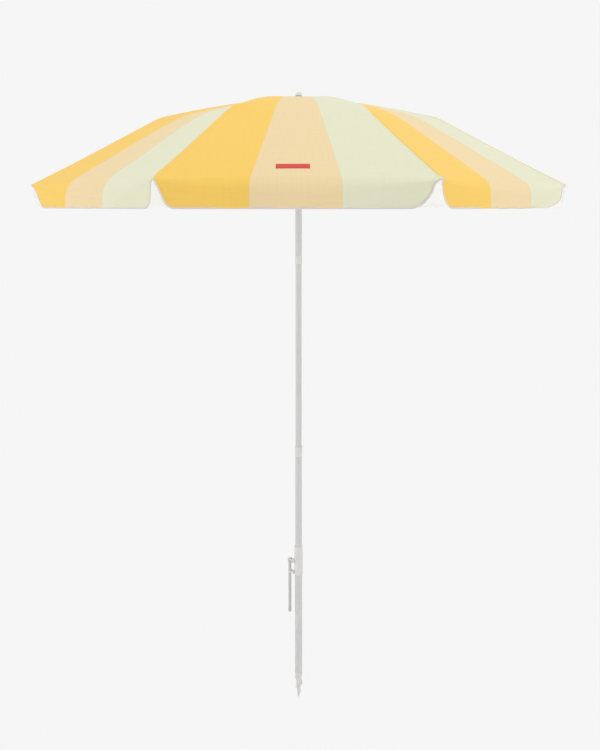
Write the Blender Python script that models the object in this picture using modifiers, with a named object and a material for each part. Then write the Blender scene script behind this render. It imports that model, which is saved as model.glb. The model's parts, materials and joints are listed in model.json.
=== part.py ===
"""Beach umbrella: telescopic pole with sand screw, folding eight-rib frame and a striped canopy.

Metres, +Z up. The origin is the tip of the sand screw, and the front panel faces -Y.
"""
import math

import bmesh
import bpy
from mathutils import Matrix, Vector

# Gaps
SEAT_GAP = 0.0003
RUNNER_GAP = 0.0004
PANEL_GAP = 0.0004

# Canopy and folding frame
PANELS = 8
RIB_TIP_RADIUS = 0.900
RIB_KINK_RADIUS = 0.500
RIB_INNER_SLOPE = math.radians(11.64)
RIB_OUTER_SLOPE = math.radians(30.4)
RIB_WIRE_RADIUS = 0.0020
RIB_EYE_RADIUS = 0.0028
RIB_EYE_LENGTH = 0.011
RIB_ROD_START = 0.008
PIVOT_STAND = 0.00775
RING_WIRE_RADIUS = 0.0010
BLADE_THICKNESS = 0.0030
CLIP_DISTANCE = 0.462
CLIP_DROP = 0.007
CLIP_LENGTH = 0.012
CLIP_CHEEK = 0.0022
CLIP_LIP = 0.0009
CLIP_PIN_RADIUS = 0.0012
STRETCHER_HALF_DEPTH = 0.0030
TIP_CAP_RADIUS = 0.0030
TIP_CAP_LENGTH = 0.022
TIP_CAP_CUP = 0.017
FABRIC_THICKNESS = 0.0008
CANOPY_HOLE_RADIUS = 0.007
PANEL_SAG = 0.007
VALANCE_DEPTH = 0.066
VALANCE_FOLD = 0.008
VALANCE_CORNER_TOP = 0.006
VALANCE_CORNER_HEM = 0.052
VALANCE_WAVE = 0.004
VALANCE_WAVES = 2

# Pole
SCREW_HEIGHT = 0.094
BOTTOM_POLE_LENGTH = 0.436
MIDDLE_POLE_SHOWN = 0.360
LINK_POLE_SHOWN = 0.6863
UPPER_POLE_LENGTH = 0.5807
LINK_POLE_RADIUS = 0.01125
TUBE_WALL = 0.0007
TELESCOPE_GAP = 0.0003
MIDDLE_OVERLAP = 0.130
LINK_OVERLAP = 0.130
LINK_TOP_OVERLAP = 0.100

# Crown, washer and cap
CROWN_RIM = 0.0045
CROWN_CLOTH_GAP = 0.0010
CROWN_EDGE_BOTTOM = 0.006
CROWN_SLEEVE_WALL = 0.00245
CROWN_SLEEVE_DEPTH = 0.045
CROWN_SOCKET_DEPTH = 0.017
STUD_RADIUS = 0.004
STUD_HEIGHT = 0.0165
WASHER_RADIUS = 0.016
WASHER_THICKNESS = 0.0012
TOP_CAP_RADIUS = 0.011
TOP_CAP_HEIGHT = 0.0145

# Runner and its catch
RUNNER_WALL = 0.0020
RUNNER_FLANGE_RIM = 0.0050
RUNNER_FLANGE_HALF = 0.006
RUNNER_SLEEVE_ABOVE = 0.009
RUNNER_SLEEVE_BELOW = 0.060
RUNNER_GRIP_FLARE = 0.00095
RUNNER_GRIP_HEIGHT = 0.005
CATCH_REACH = 0.0032
CATCH_HEIGHT = 0.034
CATCH_WIDTH = 0.004
CATCH_DEPTH = 0.0045
CATCH_SEAT = 0.0005
CATCH_SWING_GAP = 0.0008

# Collars
FERRULE_HEIGHT = 0.029
FERRULE_WALL = 0.00055
FERRULE_LIP = 0.003
COLLAR_WALL = 0.0006
COLLAR_BELOW = 0.015
COLLAR_ABOVE = 0.021
COLLAR_CHAMFER = 0.004
COLLAR_LIP = 0.0055
COLLET_STEP = 0.0001

# Folding handle and its bracket
HOUSING_WALL = 0.0018
HOUSING_BELOW = 0.083
HOUSING_ABOVE = 0.020
HOUSING_DOME = 0.015
HOUSING_ROOF = 0.0045
HANDLE_STAND = 0.01625
HANDLE_PIVOT_BELOW = 0.034
HANDLE_BELOW = 0.218
HANDLE_RADIUS = 0.00525
KNUCKLE_RADIUS = 0.00725
KNUCKLE_HALF_WIDTH = 0.0053
EAR_THICKNESS = 0.0028
EAR_RADIUS = 0.0076
EAR_ARM_HALF_HEIGHT = 0.004
CRADLE_BELOW = 0.038
CRADLE_HALF_HEIGHT = 0.0045
CRADLE_CHEEK = 0.0020
CRADLE_TAIL = 0.0030
HANDLE_PIN_RADIUS = 0.0020
HANDLE_PIN_HEAD_RADIUS = 0.0035
HANDLE_PIN_HEAD = 0.0012
END_CAP_WALL = 0.0008
END_CAP_LENGTH = 0.010
END_CAP_FLOOR = 0.002

# Sand screw
SCREW_TIP_RADIUS = 0.0032
SCREW_NECK_STEP = 0.00005
SCREW_POINT = 0.006
SCREW_SPIGOT = 0.040
SCREW_PITCH = 0.0345
SCREW_TURNS = 2.15
SCREW_FLIGHT_TOP = 0.0885
SCREW_FLIGHT_RADIUS = 0.0026
SCREW_FLIGHT_STAND = 0.0012

# Fineness of the round shapes
POLE_SIDES = 24
SMALL_SIDES = 12
WIRE_SIDES = 6
FLIGHT_STEPS = 12
PANEL_COLUMNS = 10

# Radii that follow the innermost tube
MIDDLE_POLE_RADIUS = LINK_POLE_RADIUS + TELESCOPE_GAP + TUBE_WALL
UPPER_POLE_RADIUS = MIDDLE_POLE_RADIUS
BOTTOM_POLE_RADIUS = MIDDLE_POLE_RADIUS + TELESCOPE_GAP + TUBE_WALL
FERRULE_RADIUS = UPPER_POLE_RADIUS + SEAT_GAP + FERRULE_WALL
COLLAR_RADIUS = MIDDLE_POLE_RADIUS + SEAT_GAP + COLLAR_WALL
HOUSING_RADIUS = BOTTOM_POLE_RADIUS + SEAT_GAP + HOUSING_WALL
SCREW_NECK_RADIUS = BOTTOM_POLE_RADIUS - SCREW_NECK_STEP
HANDLE_OFFSET = HOUSING_RADIUS + HANDLE_STAND
PIVOT_RADIUS = UPPER_POLE_RADIUS + PIVOT_STAND
CROWN_RADIUS = PIVOT_RADIUS + CROWN_RIM
RUNNER_FLANGE_RADIUS = PIVOT_RADIUS + RUNNER_FLANGE_RIM

# Heights along the pole
BOTTOM_POLE_TOP = SCREW_HEIGHT + BOTTOM_POLE_LENGTH
MIDDLE_POLE_TOP = BOTTOM_POLE_TOP + MIDDLE_POLE_SHOWN
UPPER_POLE_FOOT = MIDDLE_POLE_TOP + LINK_POLE_SHOWN
UPPER_POLE_TOP = UPPER_POLE_FOOT + UPPER_POLE_LENGTH
CROWN_Z = UPPER_POLE_TOP + CROWN_SOCKET_DEPTH
HANDLE_PIVOT_Z = BOTTOM_POLE_TOP - HANDLE_PIVOT_BELOW

# Frame geometry: crown pivot, clip pivot and runner pivot form two equal links
HALF_PANEL = math.pi / PANELS
FABRIC_LIFT = TIP_CAP_RADIUS + SEAT_GAP + FABRIC_THICKNESS / 2
CLIP_X = CLIP_DISTANCE * math.cos(RIB_INNER_SLOPE) - CLIP_DROP * math.sin(RIB_INNER_SLOPE)
CLIP_Z = -CLIP_DISTANCE * math.sin(RIB_INNER_SLOPE) - CLIP_DROP * math.cos(RIB_INNER_SLOPE)
LINK_LENGTH = math.hypot(CLIP_X, CLIP_Z)
RUNNER_Z = CROWN_Z + 2 * CLIP_Z
RUNNER_BORE = max(FERRULE_RADIUS, COLLAR_RADIUS, UPPER_POLE_RADIUS) + RUNNER_GAP
RUNNER_SLEEVE_RADIUS = RUNNER_BORE + RUNNER_WALL
RUNNER_GRIP_RADIUS = RUNNER_SLEEVE_RADIUS + RUNNER_GRIP_FLARE
BLADE_SLOT = BLADE_THICKNESS + 2 * SEAT_GAP
CATCH_TOP = RUNNER_Z - RUNNER_SLEEVE_BELOW - CATCH_SEAT


def azimuth(index):
    """Direction of a rib. A panel lies between the rib of its own number and the next."""
    return -math.pi / 2 - HALF_PANEL + index * 2 * HALF_PANEL


for old in list(bpy.data.objects):
    bpy.data.objects.remove(old)

parts = bpy.data.collections.new("beach_umbrella")
cutters = bpy.data.collections.new("cutters")
bpy.context.scene.collection.children.link(parts)
bpy.context.scene.collection.children.link(cutters)


def material(name, colour, roughness, metallic=0.0):
    made = bpy.data.materials.new(name)
    made.use_nodes = True
    shader = made.node_tree.nodes["Principled BSDF"]
    shader.inputs["Base Color"].default_value = (*colour, 1.0)
    shader.inputs["Roughness"].default_value = roughness
    shader.inputs["Metallic"].default_value = metallic
    return made


WHITE_ENAMEL = material("white_enamel", (0.78, 0.78, 0.76), 0.35)
WHITE_PLASTIC = material("white_plastic", (0.76, 0.76, 0.74), 0.45)
GREY_PLASTIC = material("warm_grey_plastic", (0.52, 0.52, 0.48), 0.5)
SPRING_STEEL = material("spring_steel", (0.62, 0.62, 0.62), 0.3, 1.0)
YELLOW_CLOTH = material("striped_cloth", (0.93, 0.76, 0.42), 0.85)


def add_part(name, data, finish, place=(0, 0, 0), turn=0.0):
    """A named object of the umbrella, placed by its origin and a turn about Z."""
    made = bpy.data.objects.new(name, data)
    if not data.materials:
        data.materials.append(finish)
    made.location = place
    made.rotation_euler = (0, 0, turn)
    parts.objects.link(made)
    return made


def as_cutter(tool):
    """Move an object among the hidden tools that cut or join other shapes."""
    for home in list(tool.users_collection):
        home.objects.unlink(tool)
    cutters.objects.link(tool)
    tool.hide_render = True
    tool.display_type = "WIRE"
    return tool


def combine(target, tool, operation):
    step = target.modifiers.new(operation.lower(), "BOOLEAN")
    step.operation = operation
    step.solver = "EXACT"
    step.object = as_cutter(tool)


def settled_mesh(source, name):
    """The finished shape of an object as one welded mesh, with the source removed."""
    bpy.context.view_layer.update()
    shape = source.evaluated_get(bpy.context.evaluated_depsgraph_get())
    mesh = bpy.data.meshes.new_from_object(shape)
    mesh.name = name
    mesh.transform(source.matrix_world)
    work = bmesh.new()
    work.from_mesh(mesh)
    bmesh.ops.remove_doubles(work, verts=work.verts, dist=1e-6)
    work.to_mesh(mesh)
    work.free()
    bpy.data.objects.remove(source)
    return mesh


def smooth(mesh, angle=35):
    mesh.shade_smooth()
    mesh.set_sharp_from_angle(angle=math.radians(angle))


def profile_object(name, points, closed, sides, finish):
    """A turned shape: radius and height pairs, run down the outer side, screwed about Z."""
    mesh = bpy.data.meshes.new(name)
    count = len(points)
    edges = [(i, i + 1) for i in range(count - 1)]
    if closed:
        edges.append((count - 1, 0))
    mesh.from_pydata([(r, 0, z) for r, z in points], edges, [])
    made = add_part(name, mesh, finish)
    turn = made.modifiers.new("turn", "SCREW")
    turn.axis = "Z"
    turn.angle = 2 * math.pi
    turn.steps = sides
    turn.render_steps = sides
    turn.use_merge_vertices = True
    turn.merge_threshold = 0.00001
    return made


def turned(name, points, finish, sides=POLE_SIDES):
    return profile_object(name, points, False, sides, finish)


def tube(name, outer, inner, top, foot, finish, sides=POLE_SIDES):
    outline = [(outer, top), (outer, foot), (inner, foot), (inner, top)]
    return profile_object(name, outline, True, sides, finish)


def box(name, low, high, finish):
    mesh = bpy.data.meshes.new(name)
    work = bmesh.new()
    low, high = Vector(low), Vector(high)
    bmesh.ops.create_cube(work, size=1.0)
    bmesh.ops.scale(work, vec=high - low, verts=work.verts)
    bmesh.ops.translate(work, vec=(low + high) / 2, verts=work.verts)
    work.to_mesh(mesh)
    work.free()
    return add_part(name, mesh, finish)


def rod(name, radius, start, end, finish, sides=SMALL_SIDES):
    """A straight round bar between two points."""
    start, end = Vector(start), Vector(end)
    run = end - start
    mesh = bpy.data.meshes.new(name)
    work = bmesh.new()
    bmesh.ops.create_cone(work, cap_ends=True, segments=sides,
                          radius1=radius, radius2=radius, depth=run.length)
    turn = Vector((0, 0, 1)).rotation_difference(run).to_matrix().to_4x4()
    bmesh.ops.transform(work, matrix=Matrix.Translation((start + end) / 2) @ turn, verts=work.verts)
    work.to_mesh(mesh)
    work.free()
    return add_part(name, mesh, finish)


def wire(name, points, radius, finish):
    """A round wire through points, as a bevelled curve."""
    curve = bpy.data.curves.new(name, "CURVE")
    curve.dimensions = "3D"
    curve.bevel_depth = radius
    curve.bevel_resolution = 2
    curve.use_fill_caps = True
    spline = curve.splines.new("POLY")
    spline.points.add(len(points) - 1)
    for knot, place in zip(spline.points, points):
        knot.co = (*place, 1)
    return add_part(name, curve, finish)


def blade(name, outline, holes, thickness, finish):
    """A flat strip in the XZ plane: an outline with round holes, extruded along Y."""
    curve = bpy.data.curves.new(name, "CURVE")
    curve.dimensions = "2D"
    curve.fill_mode = "BOTH"
    curve.extrude = thickness / 2
    for loop in [outline, *holes]:
        spline = curve.splines.new("POLY")
        spline.points.add(len(loop) - 1)
        for knot, (x, z) in zip(spline.points, loop):
            knot.co = (x, z, 0, 1)
        spline.use_cyclic_u = True
    made = add_part(name, curve, finish)
    made.rotation_euler = (math.pi / 2, 0, 0)
    return made


def arc(centre, radius, start, end, steps):
    """Points on a circle in a plane, from one angle to another in degrees."""
    found = []
    for i in range(steps + 1):
        at = math.radians(start + (end - start) * i / steps)
        found.append((centre[0] + radius * math.cos(at), centre[1] + radius * math.sin(at)))
    return found


def circle(centre, radius, sides=8):
    return arc(centre, radius, 0, 360 - 360 / sides, sides - 1)


def around_pole(tool_name, low, high, index, finish):
    """A box that points outwards along a rib's direction."""
    made = box(tool_name, low, high, finish)
    made.rotation_euler = (0, 0, azimuth(index))
    return made


def rib_axis_z(radius):
    """Height of a rib's centre line above the crown pivot."""
    inner = min(radius, RIB_KINK_RADIUS) - PIVOT_RADIUS
    outer = max(radius - RIB_KINK_RADIUS, 0)
    return -inner * math.tan(RIB_INNER_SLOPE) - outer * math.tan(RIB_OUTER_SLOPE)


def fabric_z(radius):
    """Height of the cloth's middle over a rib, above the crown pivot."""
    inner = -(radius - PIVOT_RADIUS) * math.tan(RIB_INNER_SLOPE)
    outer = rib_axis_z(RIB_KINK_RADIUS) - (radius - RIB_KINK_RADIUS) * math.tan(RIB_OUTER_SLOPE)
    return min(inner + FABRIC_LIFT / math.cos(RIB_INNER_SLOPE),
               outer + FABRIC_LIFT / math.cos(RIB_OUTER_SLOPE))


def make_poles():
    tube("bottom_pole", BOTTOM_POLE_RADIUS, BOTTOM_POLE_RADIUS - TUBE_WALL,
         BOTTOM_POLE_TOP, SCREW_HEIGHT, WHITE_ENAMEL)
    tube("middle_pole", MIDDLE_POLE_RADIUS, MIDDLE_POLE_RADIUS - TUBE_WALL,
         MIDDLE_POLE_TOP, BOTTOM_POLE_TOP - MIDDLE_OVERLAP, WHITE_ENAMEL)
    tube("link_pole", LINK_POLE_RADIUS, LINK_POLE_RADIUS - TUBE_WALL,
         UPPER_POLE_FOOT + LINK_TOP_OVERLAP, MIDDLE_POLE_TOP - LINK_OVERLAP, WHITE_ENAMEL)
    upper = tube("upper_pole", UPPER_POLE_RADIUS, UPPER_POLE_RADIUS - TUBE_WALL,
                 UPPER_POLE_TOP, UPPER_POLE_FOOT, WHITE_ENAMEL)
    slot = box("catch_slot",
               (0, -CATCH_WIDTH / 2 - SEAT_GAP, CATCH_TOP - CATCH_HEIGHT - SEAT_GAP),
               (2 * UPPER_POLE_RADIUS, CATCH_WIDTH / 2 + SEAT_GAP, CATCH_TOP + CATCH_SWING_GAP),
               WHITE_ENAMEL)
    combine(upper, slot, "DIFFERENCE")


def make_collars():
    """The ferrule on the upper pole, the twist collar with its collet, and the lower bush."""
    bore = UPPER_POLE_RADIUS + SEAT_GAP
    neck = LINK_POLE_RADIUS + SEAT_GAP
    foot = UPPER_POLE_FOOT - SEAT_GAP - FERRULE_LIP
    profile_object("upper_ferrule", [
        (FERRULE_RADIUS, foot + FERRULE_HEIGHT), (FERRULE_RADIUS, foot), (neck, foot),
        (neck, foot + FERRULE_LIP), (bore, foot + FERRULE_LIP), (bore, foot + FERRULE_HEIGHT),
    ], True, POLE_SIDES, WHITE_PLASTIC)

    top = MIDDLE_POLE_TOP + COLLAR_ABOVE
    foot = MIDDLE_POLE_TOP - COLLAR_BELOW
    bore = MIDDLE_POLE_RADIUS + SEAT_GAP
    roof = top - COLLAR_LIP
    rim = (COLLAR_RADIUS + bore) / 2
    profile_object("lock_collar", [
        (rim, top), (COLLAR_RADIUS, top - COLLAR_CHAMFER), (COLLAR_RADIUS, foot + COLLAR_BELOW),
        (rim, foot), (bore, foot), (bore, roof), (neck, roof), (neck, top),
    ], True, POLE_SIDES, WHITE_PLASTIC)
    tube("lock_collet", MIDDLE_POLE_RADIUS - COLLET_STEP, neck, roof - SEAT_GAP, MIDDLE_POLE_TOP + SEAT_GAP,
         GREY_PLASTIC)

    roof = BOTTOM_POLE_TOP + HOUSING_ABOVE - HOUSING_ROOF
    tube("pole_bush", BOTTOM_POLE_RADIUS, MIDDLE_POLE_RADIUS + SEAT_GAP,
         roof - SEAT_GAP, BOTTOM_POLE_TOP + SEAT_GAP, GREY_PLASTIC)


def cone_radius(height):
    """Radius of the screw's core at a height above its tip."""
    share = (height - SCREW_POINT) / (SCREW_HEIGHT - SCREW_POINT)
    return SCREW_TIP_RADIUS + (SCREW_NECK_RADIUS - SCREW_TIP_RADIUS) * max(share, 0) ** 0.85


def make_sand_screw():
    """A tapered plug with a right-handed flight, plugged into the bottom pole."""
    spigot = BOTTOM_POLE_RADIUS - TUBE_WALL - SEAT_GAP
    shoulder = SCREW_HEIGHT - SEAT_GAP
    steps = 7
    core = [(cone_radius(h), h) for h in
            (shoulder + (SCREW_POINT - shoulder) * i / steps for i in range(steps + 1))]
    screw = turned("sand_screw", [
        (0, SCREW_HEIGHT + SCREW_SPIGOT), (spigot, SCREW_HEIGHT + SCREW_SPIGOT), (spigot, shoulder),
        *core, (0, 0),
    ], WHITE_PLASTIC, 24)
    points = []
    count = round(SCREW_TURNS * FLIGHT_STEPS)
    for i in range(count + 1):
        height = SCREW_FLIGHT_TOP - SCREW_PITCH * SCREW_TURNS * i / count
        at = -2 * math.pi * SCREW_TURNS * i / count
        rise = max(math.sin(math.pi * i / count), 0) ** 0.3
        reach = cone_radius(height) + SCREW_FLIGHT_STAND * rise
        points.append((reach * math.cos(at), reach * math.sin(at), height))
    flight = settled_mesh(wire("screw_flight", points, SCREW_FLIGHT_RADIUS, WHITE_PLASTIC), "screw_flight")
    combine(screw, add_part("screw_flight", flight, WHITE_PLASTIC), "UNION")


def make_handle():
    """The folding turning handle: bracket on the bottom pole, knuckle, rod, end cap and pin."""
    top = BOTTOM_POLE_TOP + HOUSING_ABOVE
    foot = BOTTOM_POLE_TOP - HOUSING_BELOW
    dome = [(HOUSING_RADIUS - (1 - math.cos(a)) * (HOUSING_RADIUS - MIDDLE_POLE_RADIUS - HOUSING_ROOF / 4),
             top - HOUSING_DOME * (1 - math.sin(a)))
            for a in (math.radians(90 - 90 * i / 5) for i in range(6))]
    bracket = turned("handle_bracket", [
        (0, top), *dome, (HOUSING_RADIUS, foot), (0, foot)], WHITE_PLASTIC)

    slot = max(KNUCKLE_HALF_WIDTH, HANDLE_RADIUS) + SEAT_GAP
    ear = slot + EAR_THICKNESS
    pivot = HANDLE_PIVOT_Z
    web = HOUSING_RADIUS / 2
    reach = 2 * HANDLE_OFFSET
    ears = rod("handle_ears", EAR_RADIUS, (-HANDLE_OFFSET, -ear, pivot), (-HANDLE_OFFSET, ear, pivot),
               WHITE_PLASTIC, 20)
    arm = box("ear_arm", (-HANDLE_OFFSET, -ear, pivot - EAR_ARM_HALF_HEIGHT),
              (-web, ear, pivot + EAR_ARM_HALF_HEIGHT), WHITE_PLASTIC)
    ear_slot = box("ear_slot", (-reach, -slot, pivot - 2 * EAR_RADIUS),
                   (-HANDLE_OFFSET + KNUCKLE_RADIUS + SEAT_GAP, slot, pivot + 2 * EAR_RADIUS),
                   WHITE_PLASTIC)
    ear_bore = rod("ear_bore", HANDLE_PIN_RADIUS + SEAT_GAP, (-HANDLE_OFFSET, -2 * ear, pivot),
                   (-HANDLE_OFFSET, 2 * ear, pivot), WHITE_PLASTIC)
    grip = HANDLE_RADIUS + SEAT_GAP
    cheek = grip + CRADLE_CHEEK
    hold = pivot - CRADLE_BELOW
    cradle = box("handle_cradle", (-HANDLE_OFFSET - CRADLE_TAIL, -cheek, hold - CRADLE_HALF_HEIGHT),
                 (-web, cheek, hold + CRADLE_HALF_HEIGHT), WHITE_PLASTIC)
    cradle_slot = box("cradle_slot", (-reach, -grip, hold - 2 * CRADLE_HALF_HEIGHT),
                      (-HANDLE_OFFSET + grip, grip, hold + 2 * CRADLE_HALF_HEIGHT), WHITE_PLASTIC)
    roof = top - HOUSING_ROOF
    past = HOUSING_ROOF
    bore = turned("housing_bore", [
        (0, top + past), (MIDDLE_POLE_RADIUS + SEAT_GAP, top + past), (MIDDLE_POLE_RADIUS + SEAT_GAP, roof),
        (BOTTOM_POLE_RADIUS + SEAT_GAP, roof), (BOTTOM_POLE_RADIUS + SEAT_GAP, foot - past),
        (0, foot - past)], WHITE_PLASTIC)
    for lug in (ears, arm, cradle):
        combine(bracket, lug, "UNION")
    for tool in (ear_slot, ear_bore, cradle_slot, bore):
        combine(bracket, tool, "DIFFERENCE")

    pin_end = ear + SEAT_GAP
    pin_head = pin_end + HANDLE_PIN_HEAD
    pin = turned("handle_pivot_pin", [
        (0, pin_head), (HANDLE_PIN_HEAD_RADIUS, pin_head), (HANDLE_PIN_HEAD_RADIUS, pin_end),
        (HANDLE_PIN_RADIUS, pin_end), (HANDLE_PIN_RADIUS, -pin_end), (HANDLE_PIN_HEAD_RADIUS, -pin_end),
        (HANDLE_PIN_HEAD_RADIUS, -pin_head), (0, -pin_head)], SPRING_STEEL, SMALL_SIDES)
    pin.location = (-HANDLE_OFFSET, 0, pivot)
    pin.rotation_euler = (math.pi / 2, 0, 0)

    hinge = (-HANDLE_OFFSET, 0, pivot)
    knuckle = tube("handle_knuckle", KNUCKLE_RADIUS, HANDLE_PIN_RADIUS + SEAT_GAP,
                   KNUCKLE_HALF_WIDTH, -KNUCKLE_HALF_WIDTH, GREY_PLASTIC, 20)
    knuckle.location = hinge
    knuckle.rotation_euler = (math.pi / 2, 0, 0)
    bar_foot = -(HANDLE_BELOW - HANDLE_PIVOT_BELOW) + END_CAP_FLOOR + SEAT_GAP
    bar = turned("handle_rod", [
        (0, -KNUCKLE_RADIUS - SEAT_GAP), (HANDLE_RADIUS, -KNUCKLE_RADIUS - SEAT_GAP),
        (HANDLE_RADIUS, bar_foot), (0, bar_foot)], GREY_PLASTIC, 20)
    bar.location = hinge
    cup = HANDLE_RADIUS + SEAT_GAP
    floor = bar_foot - SEAT_GAP
    cap = turned("handle_end_cap", [
        (0, floor), (cup, floor), (cup, floor + END_CAP_LENGTH), (cup + END_CAP_WALL, floor + END_CAP_LENGTH),
        (cup + END_CAP_WALL, floor), (cup, floor - END_CAP_FLOOR), (0, floor - END_CAP_FLOOR),
    ], GREY_PLASTIC, 20)
    cap.location = hinge


def make_crown():
    """The slotted crown on the pole, its ring wire, the cloth washer and the top cap."""
    sleeve = UPPER_POLE_RADIUS + SEAT_GAP
    slope = math.tan(RIB_INNER_SLOPE)
    edge_top = fabric_z(CROWN_RADIUS / math.cos(HALF_PANEL)) - FABRIC_THICKNESS / 2 - CROWN_CLOTH_GAP
    shoulder = edge_top + (CROWN_RADIUS - STUD_RADIUS) * slope
    outline = [
        (0, STUD_HEIGHT), (STUD_RADIUS, STUD_HEIGHT), (STUD_RADIUS, shoulder),
        (CROWN_RADIUS, edge_top), (CROWN_RADIUS, -CROWN_EDGE_BOTTOM),
        (sleeve + CROWN_SLEEVE_WALL, -CROWN_EDGE_BOTTOM), (sleeve + CROWN_SLEEVE_WALL, -CROWN_SLEEVE_DEPTH),
        (sleeve, -CROWN_SLEEVE_DEPTH), (sleeve, -CROWN_SOCKET_DEPTH + SEAT_GAP),
        (0, -CROWN_SOCKET_DEPTH + SEAT_GAP)]
    crown = turned("crown", [(r, CROWN_Z + z) for r, z in outline], WHITE_PLASTIC)
    groove = profile_object("ring_groove", [
        (PIVOT_RADIUS + x, CROWN_Z + z) for x, z in
        reversed(circle((0, 0), RING_WIRE_RADIUS + SEAT_GAP, WIRE_SIDES))], True, POLE_SIDES, WHITE_PLASTIC)
    combine(crown, groove, "DIFFERENCE")
    slot_start = PIVOT_RADIUS - RIB_EYE_RADIUS - RING_WIRE_RADIUS
    for i in range(PANELS):
        slot = around_pole("rib_slot", (slot_start, -BLADE_SLOT / 2, CROWN_Z - CROWN_SLEEVE_DEPTH),
                           (2 * CROWN_RADIUS, BLADE_SLOT / 2, CROWN_Z + STUD_HEIGHT), i, WHITE_PLASTIC)
        combine(crown, slot, "DIFFERENCE")
    profile_object("crown_ring_wire", [
        (PIVOT_RADIUS + x, CROWN_Z + z) for x, z in
        reversed(circle((0, 0), RING_WIRE_RADIUS, WIRE_SIDES))], True, POLE_SIDES, SPRING_STEEL)

    lower = FABRIC_THICKNESS / 2 + SEAT_GAP
    hole = STUD_RADIUS + SEAT_GAP
    skin = [(r, CROWN_Z + fabric_z(r) + lower) for r in (hole, WASHER_RADIUS)]
    profile_object("canopy_washer", [
        (skin[0][0], skin[0][1] + WASHER_THICKNESS), (skin[1][0], skin[1][1] + WASHER_THICKNESS),
        skin[1], skin[0]], True, 24, WHITE_PLASTIC)

    base = skin[0][1] + WASHER_THICKNESS + SEAT_GAP
    top = base + TOP_CAP_HEIGHT
    dome = [(r, base + z) for r, z in
            ((TOP_CAP_RADIUS * math.cos(a), TOP_CAP_HEIGHT * math.sin(a) ** 0.8)
             for a in (math.radians(75 - 15 * i) for i in range(6)))]
    turned("top_cap", [
        (0, top), *dome, (hole, base), (hole, CROWN_Z + STUD_HEIGHT + SEAT_GAP),
        (0, CROWN_Z + STUD_HEIGHT + SEAT_GAP)], WHITE_PLASTIC, 24)


def rib_mesh():
    """One bent rib: a round rod with a flattened eye at the crown end, local to its pivot."""
    inward = Vector((math.cos(RIB_INNER_SLOPE), 0, -math.sin(RIB_INNER_SLOPE)))
    outward = Vector((math.cos(RIB_OUTER_SLOPE), 0, -math.sin(RIB_OUTER_SLOPE)))
    kink = Vector((RIB_KINK_RADIUS - PIVOT_RADIUS, 0, rib_axis_z(RIB_KINK_RADIUS)))
    run = (RIB_TIP_RADIUS - RIB_KINK_RADIUS) / math.cos(RIB_OUTER_SLOPE) - TIP_CAP_LENGTH + TIP_CAP_CUP
    ease = 2 * RIB_WIRE_RADIUS
    bend = [kink - inward * ease, kink * 0.5 + (kink - inward * ease + kink + outward * ease) * 0.25,
            kink + outward * ease]
    bar = wire("rib_bar", [inward * RIB_ROD_START, *bend, kink + outward * run],
               RIB_WIRE_RADIUS, SPRING_STEEL)
    bar = add_part("rib_bar", settled_mesh(bar, "rib_bar"), SPRING_STEEL)

    half = RIB_EYE_RADIUS
    outline = [(RIB_EYE_LENGTH, -half * 0.6), (RIB_EYE_LENGTH, half * 0.6),
               *arc((0, 0), half, 60, 300, 10)]
    eye = blade("rib_eye", outline, [circle((0, 0), RING_WIRE_RADIUS + SEAT_GAP)],
                BLADE_THICKNESS, SPRING_STEEL)
    eye = add_part("rib_eye", settled_mesh(eye, "rib_eye"), SPRING_STEEL)
    eye.rotation_euler = (0, RIB_INNER_SLOPE, 0)
    combine(bar, eye, "UNION")
    mesh = settled_mesh(bar, "rib")
    smooth(mesh)
    return mesh


def clip_mesh():
    """One rib clip: a block snapped on the rib from below, forked round the stretcher's eye."""
    half_width = BLADE_SLOT / 2 + CLIP_CHEEK
    half_length = CLIP_LENGTH / 2
    foot = -CLIP_DROP - STRETCHER_HALF_DEPTH
    block = box("clip_block", (-half_length, -half_width, foot),
                (half_length, half_width, CLIP_LIP), WHITE_PLASTIC)
    bore = rod("clip_bore", RIB_WIRE_RADIUS + SEAT_GAP,
               (-CLIP_LENGTH, 0, 0), (CLIP_LENGTH, 0, 0), WHITE_PLASTIC)
    fork_top = -CLIP_DROP + STRETCHER_HALF_DEPTH + SEAT_GAP
    fork = box("clip_fork", (-CLIP_LENGTH, -BLADE_SLOT / 2, 2 * foot),
               (CLIP_LENGTH, BLADE_SLOT / 2, fork_top), WHITE_PLASTIC)
    pin = rod("clip_pin", CLIP_PIN_RADIUS, (0, -half_width + CLIP_CHEEK / 2, -CLIP_DROP),
              (0, half_width - CLIP_CHEEK / 2, -CLIP_DROP), WHITE_PLASTIC, 8)
    combine(block, bore, "DIFFERENCE")
    combine(block, fork, "DIFFERENCE")
    combine(block, pin, "UNION")
    block.rotation_euler = (0, RIB_INNER_SLOPE, 0)
    block.location = (CLIP_DISTANCE * math.cos(RIB_INNER_SLOPE), 0,
                      -CLIP_DISTANCE * math.sin(RIB_INNER_SLOPE))
    for tool in (bore, fork, pin):
        tool.parent = block
    return settled_mesh(block, "rib_clip")


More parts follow.
